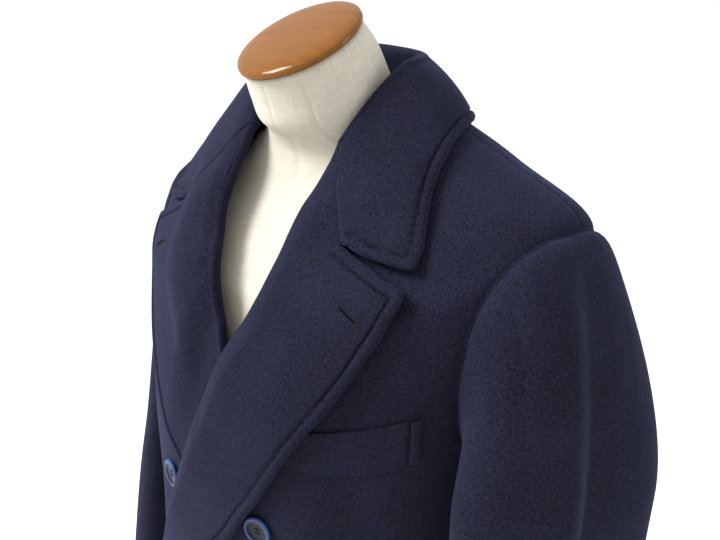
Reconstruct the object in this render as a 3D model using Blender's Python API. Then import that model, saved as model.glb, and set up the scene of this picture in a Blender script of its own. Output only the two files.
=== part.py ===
"""A double-breasted wool overcoat, worn by a limbless dress form on a stand.

The coat faces -Y and the wearer's left is +X. The origin is on the floor, at the centre of the
underside of the stand's base. Every cut piece of the coat is a cloth wall of its own.

The body of the coat is one smooth shell. A point on it is named by an angle round the body
(0 at the centre front, 90 degrees at the wearer's left side, 180 at the centre back) and by a
level, the height of that ring at the centre front. Panels, lapels, collar, pocket welt and
buttons are all placed by angle, level and lift, the distance out from the shell.
"""
import math

import bmesh
import bpy
import numpy as np
from mathutils import Matrix, Vector
from mathutils.bvhtree import BVHTree

# ---------------------------------------------------------------- driving sizes, in metres
CLOTH = 0.0024            # one layer of heavy melton
FACED = 0.0045            # two layers turned and pressed: collar and lapels
WELT = 0.0030             # folded pocket welt
WELT_GAP = 0.0009         # between the welt and its front
SEAM = 0.0003             # gap between two pieces that are sewn edge to edge
EASE = 0.0012             # clearance between two pieces that lie on each other

HEM = 0.460
BREAK = 1.045             # where the lapels start to turn
LAP_RISE = 1.022          # the left front starts to climb over the right lapel just below that
LAP_FADE_LEVELS = 1.300, 1.370           # where it sinks back above the right lapel
LAP_FADE_START, LAP_FADE_END = 12, 36    # and how many degrees outside the right front's edge
NECK = 1.450              # level of the neck seam
NECK_DIP = 0.008          # how far the neck seam dips at its front ends
NECK_DIP_START, NECK_DIP_END = 31, 64
UNDERARM = 1.225
SHOULDER = 1.345          # level of the shoulder point
SQUARENESS = 2.3          # 2 would make every ring an ellipse
BACK_FALL = 1.35          # how soon the back falls away behind the shoulder seam
DEGREE = 0.0035           # what a degree spans round the chest
ANGLE_STEP, LEVEL_STEP = 0.06, 0.0003    # how far the shell's slope is read to each side

# One row a ring of the body shell. left and right are half widths; side_z and back_z say how
# far the ring climbs at its sides and back; ridge is how late it climbs; the drop and set_back
# of the right shoulder are how a coat settles on a form.
RING_COLUMNS = ("level", "left", "right", "middle_y", "front", "back",
                "side_z", "back_z", "ridge", "drop", "set_back")
RINGS = (
    (0.460, 0.255, 0.255, 0.000, 0.190, 0.190, 0.460, 0.460, 2.0, 0.000, 0.000),   # hem
    (0.900, 0.215, 0.212, 0.000, 0.158, 0.150, 0.900, 0.900, 2.0, 0.000, 0.000),   # hip
    (1.080, 0.198, 0.203, 0.000, 0.160, 0.124, 1.080, 1.080, 2.0, 0.000, 0.004),   # waist
    (1.235, 0.215, 0.208, 0.005, 0.172, 0.142, 1.235, 1.245, 2.0, 0.000, 0.010),   # chest
    (1.345, 0.238, 0.216, 0.013, 0.167, 0.110, 1.432, 1.367, 4.0, 0.016, 0.026),   # shoulder
    (1.405, 0.160, 0.156, 0.014, 0.135, 0.082, 1.476, 1.445, 4.0, 0.008, 0.008),   # yoke
    (1.450, 0.078, 0.078, 0.010, 0.090, 0.050, 1.510, 1.507, 3.0, 0.004, 0.000),   # neck
)

# Flutes of the skirt, which fade out up to the waist: angle, half width in degrees, depth at
# the hem.
FLUTE_TOP = 1.020
FLUTES = ((52, 13, -0.007), (118, 15, 0.010), (150, 12, -0.009),
          (-60, 14, -0.006), (-112, 14, 0.009), (-146, 12, -0.010))

# The edges of the turned parts: level and angle.
LEFT_ROLL = ((0.460, -31), (0.900, -31), (1.030, -29.5), (1.045, -27.5), (1.073, -21.8),
             (1.130, -14.1), (1.193, -6.2), (1.236, -2.0), (1.305, 2.7), (1.350, 7.2),
             (1.387, 11.2), (1.4205, 16.9), (1.437, 26), (1.450, 38))
RIGHT_ROLL = ((0.460, 25), (0.900, 25), (1.030, 24), (1.045, 22.5), (1.073, 19),
              (1.130, 13), (1.193, 7), (1.236, 3.5), (1.302, 1.6), (1.350, -0.5),
              (1.380, -4.5), (1.4205, -16.9), (1.437, -26), (1.450, -38))
# How far the roll line stands off the shell where it climbs the neck: level and rise.
ROLL_RISE = ((1.30, 0), (1.387, 0.001), (1.4205, 0.007), (1.437, 0.012), (1.450, 0.016))
ROLL_RISE_WIDTH = 18.0

LAPEL_EDGE = ((1.045, -26.0), (1.062, -14.5), (1.085, -5.5), (1.112, 1.6), (1.1374, 6.9),
              (1.1682, 11.6), (1.1967, 16.3), (1.2305, 20.9), (1.2592, 25.2), (1.2858, 29.7),
              (1.3114, 33.3), (1.3358, 36.5), (1.3488, 39.1), (1.3589, 42.6), (1.3651, 45.0))
# The right lapel's lower end lies under the left front: rise from its break, degrees out.
HIDDEN_LAPEL = ((0, 1.5), (0.030, 9))
HIDDEN_LAPEL_TOP = 1.100
GORGE = ((1.450, 38), (1.437, 36.3), (1.418, 33.7), (1.400, 32.5))        # roll line to notch
LAPEL_TOP = ((1.400, 32.5), (1.3905, 36.1), (1.3812, 39.4), (1.3751, 41.3), (1.3651, 45.0))
COLLAR_END = ((1.4015, 32.9), (1.3935, 36.5), (1.3862, 41.1), (1.3792, 45.2), (1.3724, 49.1))
COLLAR_EDGE = ((1.3724, 49.1), (1.3795, 51.5), (1.3861, 53.7), (1.3924, 56.1), (1.4024, 60.7),
               (1.4117, 66.1), (1.4170, 72.5), (1.4237, 83.6), (1.4290, 96), (1.4312, 112),
               (1.4305, 135), (1.4275, 180))

FRONT_ARMHOLE = ((1.225, 90), (1.228, 80), (1.238, 71), (1.262, 63.5), (1.296, 59.7),
                 (1.317, 59.3), (1.332, 60.6), (1.3445, 64.1), (1.3493, 71.0),
                 (1.3490, 77.2), (1.3455, 85.4), (1.345, 90))
BACK_ARMHOLE = ((1.225, 90), (1.228, 99), (1.240, 108), (1.262, 113), (1.290, 115.5),
                (1.312, 116), (1.330, 114), (1.341, 108), (1.345, 100), (1.345, 90))

# The collar's fold, round the wearer's left side: station angle, x, y, z.
FOLD = ((38, 0.0565, -0.0712, 1.4865), (51, 0.0655, -0.0555, 1.5115), (64, 0.073, -0.036, 1.534),
        (77, 0.0775, -0.016, 1.549), (90, 0.076, -0.001, 1.552), (135, 0.050, 0.033, 1.552),
        (180, 0.0, 0.046, 1.552), (225, -0.050, 0.033, 1.552))
FOLD_STEP = 2             # degrees along which the fold's direction is read
FOLD_RADIUS = 0.0018      # inside the fold
STAND_GAP = 0.0020        # between the collar's stand and the neck edge of the body
COLLAR_REST = 0.0018      # least clearance of the leaf over the body
COLLAR_BULGE = 0.006      # how far the leaf arches between its fold and its edge
COLLAR_FAN = ((38, 49.1), (51, 54), (64, 63), (77, 75), (90, 90), (180, 180))
STAND_SHARES = (0, 0.35, 0.7, 1)
GORGE_BLEND = 0.3         # share of the collar's front end that comes down from the fold

# Rise of a lapel off the front beneath, across its width: share of the width, rise.
LEFT_LAPEL_ROLL = ((0, 0), (0.12, 0.0045), (0.30, 0.008), (0.65, 0.0065), (1, 0.0060))
RIGHT_LAPEL_ROLL = ((0, 0), (0.15, 0.007), (0.42, 0.011), (0.75, 0.004), (1, 0.0015))
LAPEL_WIDTHS = 0.010, 0.070    # a lapel narrower than the first lies flat, past the second it rolls
ROLL_SHARE = 0.15         # share of the width in which it leaves the front beneath
COVERED = 0.0030          # the right lapel where the left front presses it flat
COVER_START, COVER_END = 12, 3           # from so many degrees inside the left front's edge

# Numbers of rows and columns of the cloth grids.
LOW_ROWS, ROLL_ROWS, SIDE_ROWS, ARMHOLE_POINTS = 9, 16, 5, 12
FRONT_NECK, BACK_NECK, SHOULDER_COLUMNS = 5, 6, 9
GORGE_COLUMNS, TOP_COLUMNS = 6, 4
PANEL_HOLD = 3

# Sleeve rings of the left sleeve below its head. along and across are half sizes; turn brings
# its front edge toward the body; trough is the depth of the long fold on its outer side.
SLEEVE_COLUMNS = ("z", "x", "y", "along", "across", "turn", "trough")
SLEEVE_RINGS = (
    (1.212, 0.268, -0.030, 0.092, 0.046, 24, 0.013),
    (1.130, 0.270, -0.036, 0.089, 0.046, 23, 0.015),
    (1.050, 0.273, -0.043, 0.085, 0.048, 21, 0.013),
    (0.930, 0.276, -0.054, 0.075, 0.045, 17, 0.008),
    (0.815, 0.281, -0.065, 0.065, 0.041, 14, 0.003),
)
# The right sleeve hangs flatter and farther back: how far in, back at its top ring and at its
# cuff, and by what share it is flatter at the top.
SLEEVE_HANG = {1: (0, 0, 0, 0), -1: (0.014, 0.044, 0.032, 0.42)}
HEAD_STEPS = (0, 0.10, 0.22, 0.36, 0.54, 0.76, 1)
HEAD_LIFT = 48            # degrees up from the body at which the sleeve leaves the shoulder point
HEAD_REACH = 0.115        # how far the sleeve head carries on that way,
HEAD_SHARE = 0.6          # and at most this share of the way down
HEAD_FALL, FALL_SHARE = 0.020, 1.1       # how it turns into the straight sleeve below
UNDERARM_TURN = 60        # degrees past level at which the sleeve leaves the underarm
UNDERARM_SHARE = 0.55     # how low on the armhole that starts
CUFF_ROWS = 8
TROUGH_ANGLE, TROUGH_WIDTH = 190, 17
FRONT_SLEEVE_SEAM, BACK_SLEEVE_SEAM = 3, 18    # armhole points where the two seams start

# Breast pocket welt on the left front: level and angle along its edges, from the lapel outward.
WELT_TOP = ((1.2612, 22.6), (1.2628, 25.5), (1.2640, 28.8), (1.2661, 35.2), (1.2691, 42.1),
            (1.2718, 48.5), (1.2718, 52.5))
WELT_BOTTOM = ((1.2320, 18.6), (1.2305, 22.7), (1.2287, 25.5), (1.2284, 29.9), (1.2296, 34.6),
               (1.2320, 39.5), (1.2358, 44.3), (1.2407, 49.1), (1.2441, 54.2))
WELT_COLUMNS, WELT_ROWS = 12, 4

# Buttons: three rows of two. The top row shows beside the lapels, one on each front.
BUTTON_LEVELS = (1.158, 1.011, 0.864)
BUTTON_ANGLES = {1: 14.4, -1: -18.6}
BUTTON_DROP = {1: 0, -1: 0.010}      # the right column hangs lower
BUTTON_SIDES = 24
BUTTON_PROFILE = ((0.0100, 0), (0.0132, 0.0008), (0.0142, 0.0022), (0.0138, 0.0036),
                  (0.0126, 0.0043), (0.0112, 0.0040), (0.0090, 0.0028))
HOLE_OFFSET, HOLE_RADIUS, HOLE_DEPTH = 0.0030, 0.0011, 0.0200

# Rings of the dress form: lean is how far a ring tips forward, tip how far it rises to the left.
FORM_COLUMNS = ("z", "half", "middle_y", "front", "back", "lean", "tip")
FORM_RINGS = (
    (0.800, 0.150, 0.005, 0.100, 0.106, 0, 0), (0.808, 0.162, 0.005, 0.110, 0.117, 0, 0),
    (0.840, 0.168, 0.005, 0.116, 0.122, 0, 0), (0.920, 0.166, 0.004, 0.116, 0.119, 0, 0),
    (1.000, 0.152, 0.002, 0.110, 0.106, 0, 0), (1.080, 0.146, 0.000, 0.112, 0.098, 0, 0),
    (1.160, 0.155, 0.002, 0.128, 0.108, 0, 0), (1.240, 0.170, 0.004, 0.148, 0.122, 0, 0),
    (1.300, 0.182, 0.009, 0.154, 0.122, 0, 0), (1.345, 0.190, 0.014, 0.150, 0.110, 0, 0),
    (1.380, 0.192, 0.016, 0.131, 0.098, 0, 0), (1.405, 0.182, 0.015, 0.109, 0.084, 0, 0),
    (1.428, 0.160, 0.012, 0.088, 0.070, 0, 0), (1.446, 0.133, 0.007, 0.075, 0.062, 0, 0),
    (1.462, 0.105, 0.000, 0.067, 0.057, 0, 0), (1.478, 0.082, -0.009, 0.062, 0.056, 6, 0),
    (1.494, 0.068, -0.019, 0.060, 0.057, 14, 1), (1.513, 0.0605, -0.034, 0.063, 0.060, 20, 2.5),
    (1.536, 0.0598, -0.048, 0.059, 0.058, 26, 4.5), (1.5586, 0.0537, -0.064, 0.0537, 0.0537, 28.9, 6.4),
)
FORM_SIDES = 36
ROUND_TO_SQUARE = 0.060, 0.160    # half widths between which its rings turn from round to squarer
CAP_LEAN, CAP_TIP = 28.9, 6.4
CAP_PLACE = (0, -0.0645, 1.5594)
CAP_PROFILE = ((0.0524, 0), (0.0560, 0.0005), (0.0578, 0.0026), (0.0574, 0.0055), (0.0542, 0.0081),
               (0.0474, 0.0098), (0.0346, 0.0108), (0.0182, 0.0113))
CAP_SIDES, POLE_SIDES, BASE_SIDES = 40, 20, 48
POLE_PROFILE = ((0.0125, 0.0246), (0.0125, 0.7820), (0.0300, 0.7830), (0.0300, 0.7997))
BASE_PROFILE = ((0.1780, 0), (0.1800, 0.0020), (0.1800, 0.0140), (0.1765, 0.0180), (0.1680, 0.0205),
                (0.0400, 0.0243))

SHARP_ANGLE = 40          # edges that turn more than this stay sharp
SIDE_NAMES = {1: "left", -1: "right"}
MELTON = ((0.030, 0.033, 0.075), 0.9)
LINEN = ((0.62, 0.57, 0.46), 0.85)
WOOD = ((0.42, 0.13, 0.03), 0.25)
STEEL = ((0.30, 0.30, 0.31), 0.35, 1.0)
HORN = ((0.018, 0.022, 0.055), 0.3)

# ---------------------------------------------------------------- curves and the body shell
def smooth(xs, ys, x):
    """Smooth curve through (xs, ys) that never overshoots, read at x."""
    xs, ys = np.asarray(xs, float), np.asarray(ys, float)
    x = np.clip(np.asarray(x, float), xs[0], xs[-1])
    step = np.diff(xs)
    rise = np.diff(ys) / step
    slope = np.zeros(len(xs))
    for i in range(1, len(xs) - 1):
        if rise[i - 1] * rise[i] > 0:
            a, b = 2 * step[i] + step[i - 1], step[i] + 2 * step[i - 1]
            slope[i] = (a + b) / (a / rise[i - 1] + b / rise[i])
    slope[0], slope[-1] = rise[0], rise[-1]
    k = np.clip(np.searchsorted(xs, x, "right") - 1, 0, len(xs) - 2)
    t = (x - xs[k]) / step[k]
    return ((2 * t**3 - 3 * t**2 + 1) * ys[k] + (t**3 - 2 * t**2 + t) * step[k] * slope[k]
            + (3 * t**2 - 2 * t**3) * ys[k + 1] + (t**3 - t**2) * step[k] * slope[k + 1])


def ramp(x, start, end):
    """0 before start, 1 past end, smooth between."""
    t = np.clip((np.asarray(x, float) - start) / (end - start), 0, 1)
    return t * t * (3 - 2 * t)


def read(table, level, side=1):
    """Angle of an edge at a level."""
    return side * smooth([row[0] for row in table], [row[1] for row in table], level)


def along(points, shares):
    """(level, angle) points at the given shares of an edge's length, read from a smooth curve."""
    level, angle = np.asarray(points, float).T
    walk = np.concatenate([[0], np.cumsum(np.hypot(np.diff(level), np.diff(angle) * DEGREE))])
    walk /= walk[-1]
    return np.stack([smooth(walk, level, shares), smooth(walk, angle, shares)], -1)


def shell(angle, level):
    """Point of the body shell; angle in degrees."""
    angle, level = np.broadcast_arrays(np.asarray(angle, float), np.asarray(level, float))
    levels = [ring[0] for ring in RINGS]
    ring = {name: smooth(levels, [row[i] for row in RINGS], level)
            for i, name in enumerate(RING_COLUMNS)}
    s, c = np.sin(np.radians(angle)), np.cos(np.radians(angle))
    power = 2 / SQUARENESS
    flute = sum(depth * np.exp(-((angle - at + 180) % 360 - 180)**2 / (2 * width**2))
                for at, width, depth in FLUTES) * (1 - ramp(level, HEM, FLUTE_TOP))
    right = s < 0
    x = np.where(right, ring["right"], ring["left"]) * np.sign(s) * np.abs(s)**power
    y = ring["middle_y"] + np.where(c > 0, -ring["front"], ring["back"]) * np.abs(c)**power
    y = y + np.where(right, ring["set_back"] * s * s, 0)
    top = ring["side_z"] - np.where(right, ring["drop"], 0)
    front_z = level + (top - level) * np.abs(s)**ring["ridge"]
    back_z = top - (top - ring["back_z"]) * np.abs(c)**BACK_FALL
    z = np.where(c > 0, front_z, back_z)
    return np.stack([x + flute * s, y - flute * c, z], -1)


def outward(angle, level):
    """Unit normal of the body shell."""
    level = np.clip(np.asarray(level, float), HEM + LEVEL_STEP, NECK - LEVEL_STEP)
    round_way = shell(np.asarray(angle) + ANGLE_STEP, level) - shell(np.asarray(angle) - ANGLE_STEP, level)
    normal = np.cross(round_way, shell(angle, level + LEVEL_STEP) - shell(angle, level - LEVEL_STEP))
    return normal / np.linalg.norm(normal, axis=-1, keepdims=True)


def coat(angle, level, lift=0.0):
    """Point at a lift out from the body shell."""
    angle, level, lift = np.broadcast_arrays(np.asarray(angle, float), np.asarray(level, float),
                                             np.asarray(lift, float))
    return shell(angle, level) + outward(angle, level) * lift[..., None]


# ---------------------------------------------------------------- solids and materials
def material(name, colour, roughness, metallic=0.0):
    made = bpy.data.materials.new(name)
    made.use_nodes = True
    made.diffuse_color = (*colour, 1)
    shader = made.node_tree.nodes["Principled BSDF"]
    shader.inputs["Base Color"].default_value = (*colour, 1)
    shader.inputs["Roughness"].default_value = roughness
    shader.inputs["Metallic"].default_value = metallic
    return made


def add_object(name, bm, finish):
    bmesh.ops.recalc_face_normals(bm, faces=bm.faces)
    mesh = bpy.data.meshes.new(name)
    bm.to_mesh(mesh)
    bm.free()
    mesh.materials.append(material(name, *finish))
    mesh.shade_smooth()
    mesh.set_sharp_from_angle(angle=math.radians(SHARP_ANGLE))
    made = bpy.data.objects.new(name, mesh)
    bpy.context.scene.collection.objects.link(made)
    return made


def wall(name, inside, outside, finish):
    """Closed cloth wall between two grids of points."""
    rows, columns = inside.shape[:2]
    bm = bmesh.new()
    layers = [[[bm.verts.new(p) for p in row] for row in grid] for grid in (inside, outside)]
    for layer in layers:
        for i in range(rows - 1):
            for j in range(columns - 1):
                bm.faces.new((layer[i][j], layer[i][j + 1], layer[i + 1][j + 1], layer[i + 1][j]))
    rim = ([(0, j) for j in range(columns)] + [(i, columns - 1) for i in range(1, rows)]
           + [(rows - 1, j) for j in range(columns - 2, -1, -1)] + [(i, 0) for i in range(rows - 2, 0, -1)])
    for (i, j), (k, m) in zip(rim, rim[1:] + rim[:1]):
        bm.faces.new((layers[0][i][j], layers[0][k][m], layers[1][k][m], layers[1][i][j]))
    return add_object(name, bm, finish)


def ring_solid(name, rings, finish):
    """Closed solid through a stack of rings, with flat ends."""
    bm = bmesh.new()
    loops = [[bm.verts.new(p) for p in ring] for ring in rings]
    for low, high in zip(loops, loops[1:]):
        for i in range(len(low)):
            j = (i + 1) % len(low)
            bm.faces.new((low[i], low[j], high[j], high[i]))
    bm.faces.new(loops[0])
    bm.faces.new(loops[-1])
    return add_object(name, bm, finish)


def grid_normals(grid):
    """Unit normals of a grid of points, by its rows and columns."""
    normal = np.cross(np.gradient(grid, axis=1), np.gradient(grid, axis=0))
    return normal / np.linalg.norm(normal, axis=-1, keepdims=True)


def trimmed(grid, sides):
    """Move the named edges of a grid of points in by half a seam gap.

    low and high are its first and last rows, start and end its columns."""
    grid = grid.copy()
    every = slice(None)
    edges = {"low": ((0, every), (1, every)), "high": ((-1, every), (-2, every)),
             "start": ((every, 0), (every, 1)), "end": ((every, -1), (every, -2))}
    for side in sides:
        edge, near = edges[side]
        way = grid[near] - grid[edge]
        grid[edge] += way * (SEAM / 2 / np.linalg.norm(way, axis=-1, keepdims=True))
    return grid


def patch(start, end, low, high, hold=1):
    """Grid of (level, angle) spanned by four edges that share their corners.

    A larger hold keeps the pull of the low and high edges nearer to them."""
    v = np.linspace(0, 1, len(start))[:, None, None]
    u = np.linspace(0, 1, len(low))[None, :, None]
    ruled = (1 - u) * start[:, None] + u * end[:, None]
    return ruled + (1 - v)**hold * (low - ruled[0])[None] + v**hold * (high - ruled[-1])[None]


# ---------------------------------------------------------------- what lies over what
def roll_angle(level, side):
    """Angle of the left (1) or right (-1) front's inner edge: its front edge, then the roll."""
    return read(LEFT_ROLL if side > 0 else RIGHT_ROLL, level)


def climb(angle, level, side):
    """How far the roll line lifts a front off the shell as it climbs the neck."""
    away = (angle - roll_angle(level, side)) / ROLL_RISE_WIDTH
    return read(ROLL_RISE, level) * np.exp(-away**2)


def panel_lift(angle, level, side):
    """Lift of a front's inner face. The left front laps over the right one and its lapel."""
    level, angle = np.asarray(level, float), np.asarray(angle, float)
    lift = climb(angle, level, side)
    if side > 0:
        on_panel = CLOTH + EASE
        on_lapel = on_panel + COVERED + 2 * EASE
        beneath = on_panel + (on_lapel - on_panel) * ramp(level, LAP_RISE, BREAK)
        right_edge = roll_angle(level, -1)
        lift = lift + (beneath * (1 - ramp(level, *LAP_FADE_LEVELS))
                       * (1 - ramp(angle, right_edge + LAP_FADE_START, right_edge + LAP_FADE_END)))
    return lift


# ---------------------------------------------------------------- the body panels
def level_rows(top=NECK):
    """Levels of the panel rows: hem to break, then break to neck."""
    return np.concatenate([np.linspace(HEM, LAP_RISE, LOW_ROWS - 1), np.linspace(BREAK, top, ROLL_ROWS)])


def neck_level(angle):
    """Level of the neck seam: it dips toward its front ends."""
    return NECK - NECK_DIP * (1 - ramp(np.abs(angle), NECK_DIP_START, NECK_DIP_END))


def outer_edge(armhole):
    """Side seam, then the armhole, as (level, angle), one point a row."""
    seam = np.concatenate([np.linspace(HEM, LAP_RISE, LOW_ROWS - 1), np.linspace(BREAK, UNDERARM, SIDE_ROWS)])
    seam = np.stack([seam, np.full(len(seam), 90.0)], -1)
    return np.concatenate([seam, along(armhole, np.linspace(0, 1, ARMHOLE_POINTS))[1:]])


def shoulder_points():
    return np.stack([np.linspace(NECK, SHOULDER, SHOULDER_COLUMNS), np.full(SHOULDER_COLUMNS, 90.0)], -1)


def front_domain(side):
    """(level, angle) of a front's rows and columns; columns run from its inner edge outward."""
    levels = level_rows(NECK - NECK_DIP)
    inner = np.stack([levels, roll_angle(levels, side) * side], -1)
    neck_angles = np.concatenate([inner[-1:, 1], np.linspace(FOLD[0][0], 90, FRONT_NECK)])
    neck = np.stack([neck_level(neck_angles), neck_angles], -1)
    top = np.concatenate([neck, shoulder_points()[1:]])
    hem = np.stack([np.full(len(top), HEM), np.linspace(inner[0, 1], 90, len(top))], -1)
    domain = patch(inner, outer_edge(FRONT_ARMHOLE), hem, top, PANEL_HOLD)
    domain[..., 1] *= side
    return domain


def back_domain(side):
    levels = level_rows()
    middle = np.stack([levels, np.full(len(levels), 180.0)], -1)
    neck = np.stack([np.full(BACK_NECK, NECK), np.linspace(180, 90, BACK_NECK)], -1)
    top = np.concatenate([neck, shoulder_points()[1:]])
    hem = np.stack([np.full(len(top), HEM), np.linspace(180, 90, len(top))], -1)
    domain = patch(middle, outer_edge(BACK_ARMHOLE), hem, top, PANEL_HOLD)
    domain[..., 1] *= side
    return domain


def make_front(side):
    domain = front_domain(side)
    level, angle = domain[..., 0], domain[..., 1]
    lift = panel_lift(angle, level, side)
    inside, outside = coat(angle, level, lift), coat(angle, level, lift + CLOTH)
    return wall("front_" + SIDE_NAMES[side], *(trim_panel(g) for g in (inside, outside)), MELTON)


def make_back(side):
    domain = back_domain(side)
    level, angle = domain[..., 0], domain[..., 1]
    inside, outside = coat(angle, level), coat(angle, level, CLOTH)
    inside, outside = (trimmed(trim_panel(g), ["start"]) for g in (inside, outside))
    return wall("back_" + SIDE_NAMES[side], inside, outside, MELTON)


def trim_panel(grid):
    """Open the side seam and the shoulder seam of a panel; the armhole edge stays."""
    grid = grid.copy()
    seam = trimmed(grid, ["end"])[:, -1]
    rows = LOW_ROWS + SIDE_ROWS - 1
    grid[:rows, -1] = seam[:rows]
    grid[-1, -SHOULDER_COLUMNS:] = trimmed(grid, ["high"])[-1, -SHOULDER_COLUMNS:]
    return grid


# ---------------------------------------------------------------- lapels
def lapel_domain(side):
    """(level, angle) of a lapel: rows climb the roll line, columns run from it to the edge."""
    levels = np.append(np.linspace(BREAK, NECK - NECK_DIP, ROLL_ROWS), NECK)
    roll = np.stack([levels, roll_angle(levels, side) * side], -1)
    edge_table = LAPEL_EDGE if side > 0 else hidden_break(LAPEL_EDGE, roll[0, 1])
    edge = along(edge_table, np.linspace(0, 1, len(levels)))
    gorge = [tuple(roll[-1])] + list(GORGE[1:])
    top = np.concatenate([along(gorge, np.linspace(0, 1, GORGE_COLUMNS)),
                          along(LAPEL_TOP, np.linspace(0, 1, TOP_COLUMNS))[1:]])
    low = np.stack([np.linspace(roll[0, i], edge[0, i], len(top)) for i in (0, 1)], -1)
    domain = patch(roll, edge, low, top)
    domain[..., 1] *= side
    return domain


def hidden_break(edge_table, break_angle):
    """The right lapel's edge runs on under the left front to its own break."""
    table = [(level, angle) for level, angle in edge_table if level > HIDDEN_LAPEL_TOP]
    return [(BREAK + rise, break_angle + out) for rise, out in HIDDEN_LAPEL] + table


def lapel_lift(side, domain):
    """Lift of a lapel's under face, and its thickness."""
    level, angle = domain[..., 0], domain[..., 1]
    rows, columns = level.shape
    share = np.linspace(0, 1, columns)[None, :] * np.ones((rows, 1))
    width = np.linalg.norm(shell(angle, level)[:, -1] - shell(angle, level)[:, 0], axis=-1)[:, None]
    full = ramp(width, *LAPEL_WIDTHS)
    shape = smooth(*zip(*(LEFT_LAPEL_ROLL if side > 0 else RIGHT_LAPEL_ROLL)), share) * full
    lift = panel_lift(angle, level, side) + CLOTH + SEAM + (EASE - SEAM) * ramp(share, 0, ROLL_SHARE) + shape
    thick = np.full(level.shape, FACED)
    if side < 0:
        left_edge = roll_angle(level, 1)
        cover = ramp(angle, left_edge - COVER_START, left_edge - COVER_END)
        lift = lift + (CLOTH + EASE - lift) * cover
        thick = thick + (COVERED - thick) * cover
    return lift, thick


def make_lapel(side):
    domain = lapel_domain(side)
    level, angle = domain[..., 0], domain[..., 1]
    lift, thick = lapel_lift(side, domain)
    under, over = coat(angle, level, lift), coat(angle, level, lift + thick)
    under, over = (trimmed(g, ["high"]) for g in (under, over))
    return wall("lapel_" + SIDE_NAMES[side], under, over, MELTON)


# ---------------------------------------------------------------- collar
def fold_point(angle, side):
    """Top of the collar's fold."""
    x, y, z = (smooth([row[0] for row in FOLD], [row[i] for row in FOLD], angle) for i in (1, 2, 3))
    return np.stack([side * x, y, z], -1)


def collar_section(angle, side):
    """Concave side of the collar at one station: up the stand, over the fold, down the leaf."""
    level = neck_level(angle)
    neck, below = (coat(side * angle, at, climb(side * angle, at, side) + CLOTH)
                   for at in (level, level - STAND_GAP))
    base = neck + (neck - below) / np.linalg.norm(neck - below) * STAND_GAP
    top = fold_point(angle, side)
    ahead, behind = min(angle + FOLD_STEP, 180), max(angle - FOLD_STEP, FOLD[0][0])
    out = np.cross(fold_point(ahead, side) - fold_point(behind, side), (0, 0, side))
    out /= np.linalg.norm(out)
    up = np.array((0, 0, 1.0))
    crown = top - up * FACED
    stand_top = crown - out * FOLD_RADIUS - up * FOLD_RADIUS
    leaf_top = crown + out * FOLD_RADIUS - up * FOLD_RADIUS
    stand = [base + (stand_top - base) * share for share in STAND_SHARES]
    edge_angle = read(COLLAR_FAN, angle)
    edge_level = smooth([row[1] for row in COLLAR_EDGE], [row[0] for row in COLLAR_EDGE], edge_angle)
    edge = coat(side * edge_angle, edge_level, CLOTH + EASE)
    control = (leaf_top + edge) / 2 + (out + up) * COLLAR_BULGE
    share = np.linspace(0, 1, GORGE_COLUMNS + TOP_COLUMNS - 1)[:, None]
    leaf = (1 - share)**2 * leaf_top + 2 * share * (1 - share) * control + share**2 * edge
    return np.array(stand + [crown] + list(leaf))


def gorge_row(side, start, above=0.0):
    """The collar's front end from its fold: down the gorge to the notch, then its own end edge."""
    first = (NECK, abs(roll_angle(NECK, side)))
    path = np.concatenate([along([first] + list(GORGE[1:]), np.linspace(0, 1, GORGE_COLUMNS)),
                           along(COLLAR_END, np.linspace(0, 1, TOP_COLUMNS))[1:]])
    level, angle = path[:, 0], path[:, 1] * side
    share = np.linspace(0, 1, len(path))
    shape = smooth(*zip(*(LEFT_LAPEL_ROLL if side > 0 else RIGHT_LAPEL_ROLL)), share)
    row = coat(angle, level, panel_lift(angle, level, side) + CLOTH + EASE + shape + above)
    return row + (start - row[0]) * (1 - ramp(share, 0, GORGE_BLEND))[:, None]


def shell_tree():
    """The outer face of the upper body as a tree that finds the nearest point."""
    angles, levels = np.meshgrid(np.arange(-180.0, 181, 4), np.linspace(UNDERARM, NECK, 45))
    lift = np.where(angles > 0, panel_lift(angles, levels, 1), panel_lift(angles, levels, -1))
    lift = np.where(np.abs(angles) > 90, 0, lift)
    points = coat(angles, levels, lift + CLOTH)
    rows, columns = angles.shape
    faces = [(i * columns + j, i * columns + j + 1, (i + 1) * columns + j + 1, (i + 1) * columns + j)
             for i in range(rows - 1) for j in range(columns - 1)]
    return BVHTree.FromPolygons([Vector(p) for p in points.reshape(-1, 3)], faces)


def rest_on(tree, points, clearance):
    """Move points out until they clear the coat under them."""
    moved = points.copy()
    for index in np.ndindex(points.shape[:-1]):
        place, normal, _, _ = tree.find_nearest(Vector(points[index]))
        height = (Vector(points[index]) - place).dot(normal)
        if height < clearance:
            moved[index] = points[index] + np.array(normal) * (clearance - height)
    return moved


def make_collar():
    tree = shell_tree()
    angles = np.concatenate([np.linspace(FOLD[0][0], 90, FRONT_NECK), np.linspace(90, 180, BACK_NECK)[1:]])
    leaf = len(STAND_SHARES) + 1
    halves = {}
    for side in (1, -1):
        sections = np.array([collar_section(a, side) for a in angles])
        sections[0, leaf:] = gorge_row(side, sections[0, leaf])
        sections[1:, leaf:] = rest_on(tree, sections[1:, leaf:], COLLAR_REST)
        halves[side] = sections
    under = np.concatenate([halves[1], halves[-1][-2::-1]])
    over = under + grid_normals(under) * FACED
    over[0, leaf:] = gorge_row(1, over[0, leaf], FACED)
    over[-1, leaf:] = gorge_row(-1, over[-1, leaf], FACED)
    under, over = (trimmed(grid, ["low", "high"]) for grid in (under, over))
    return wall("collar", under, over, MELTON)


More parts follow.
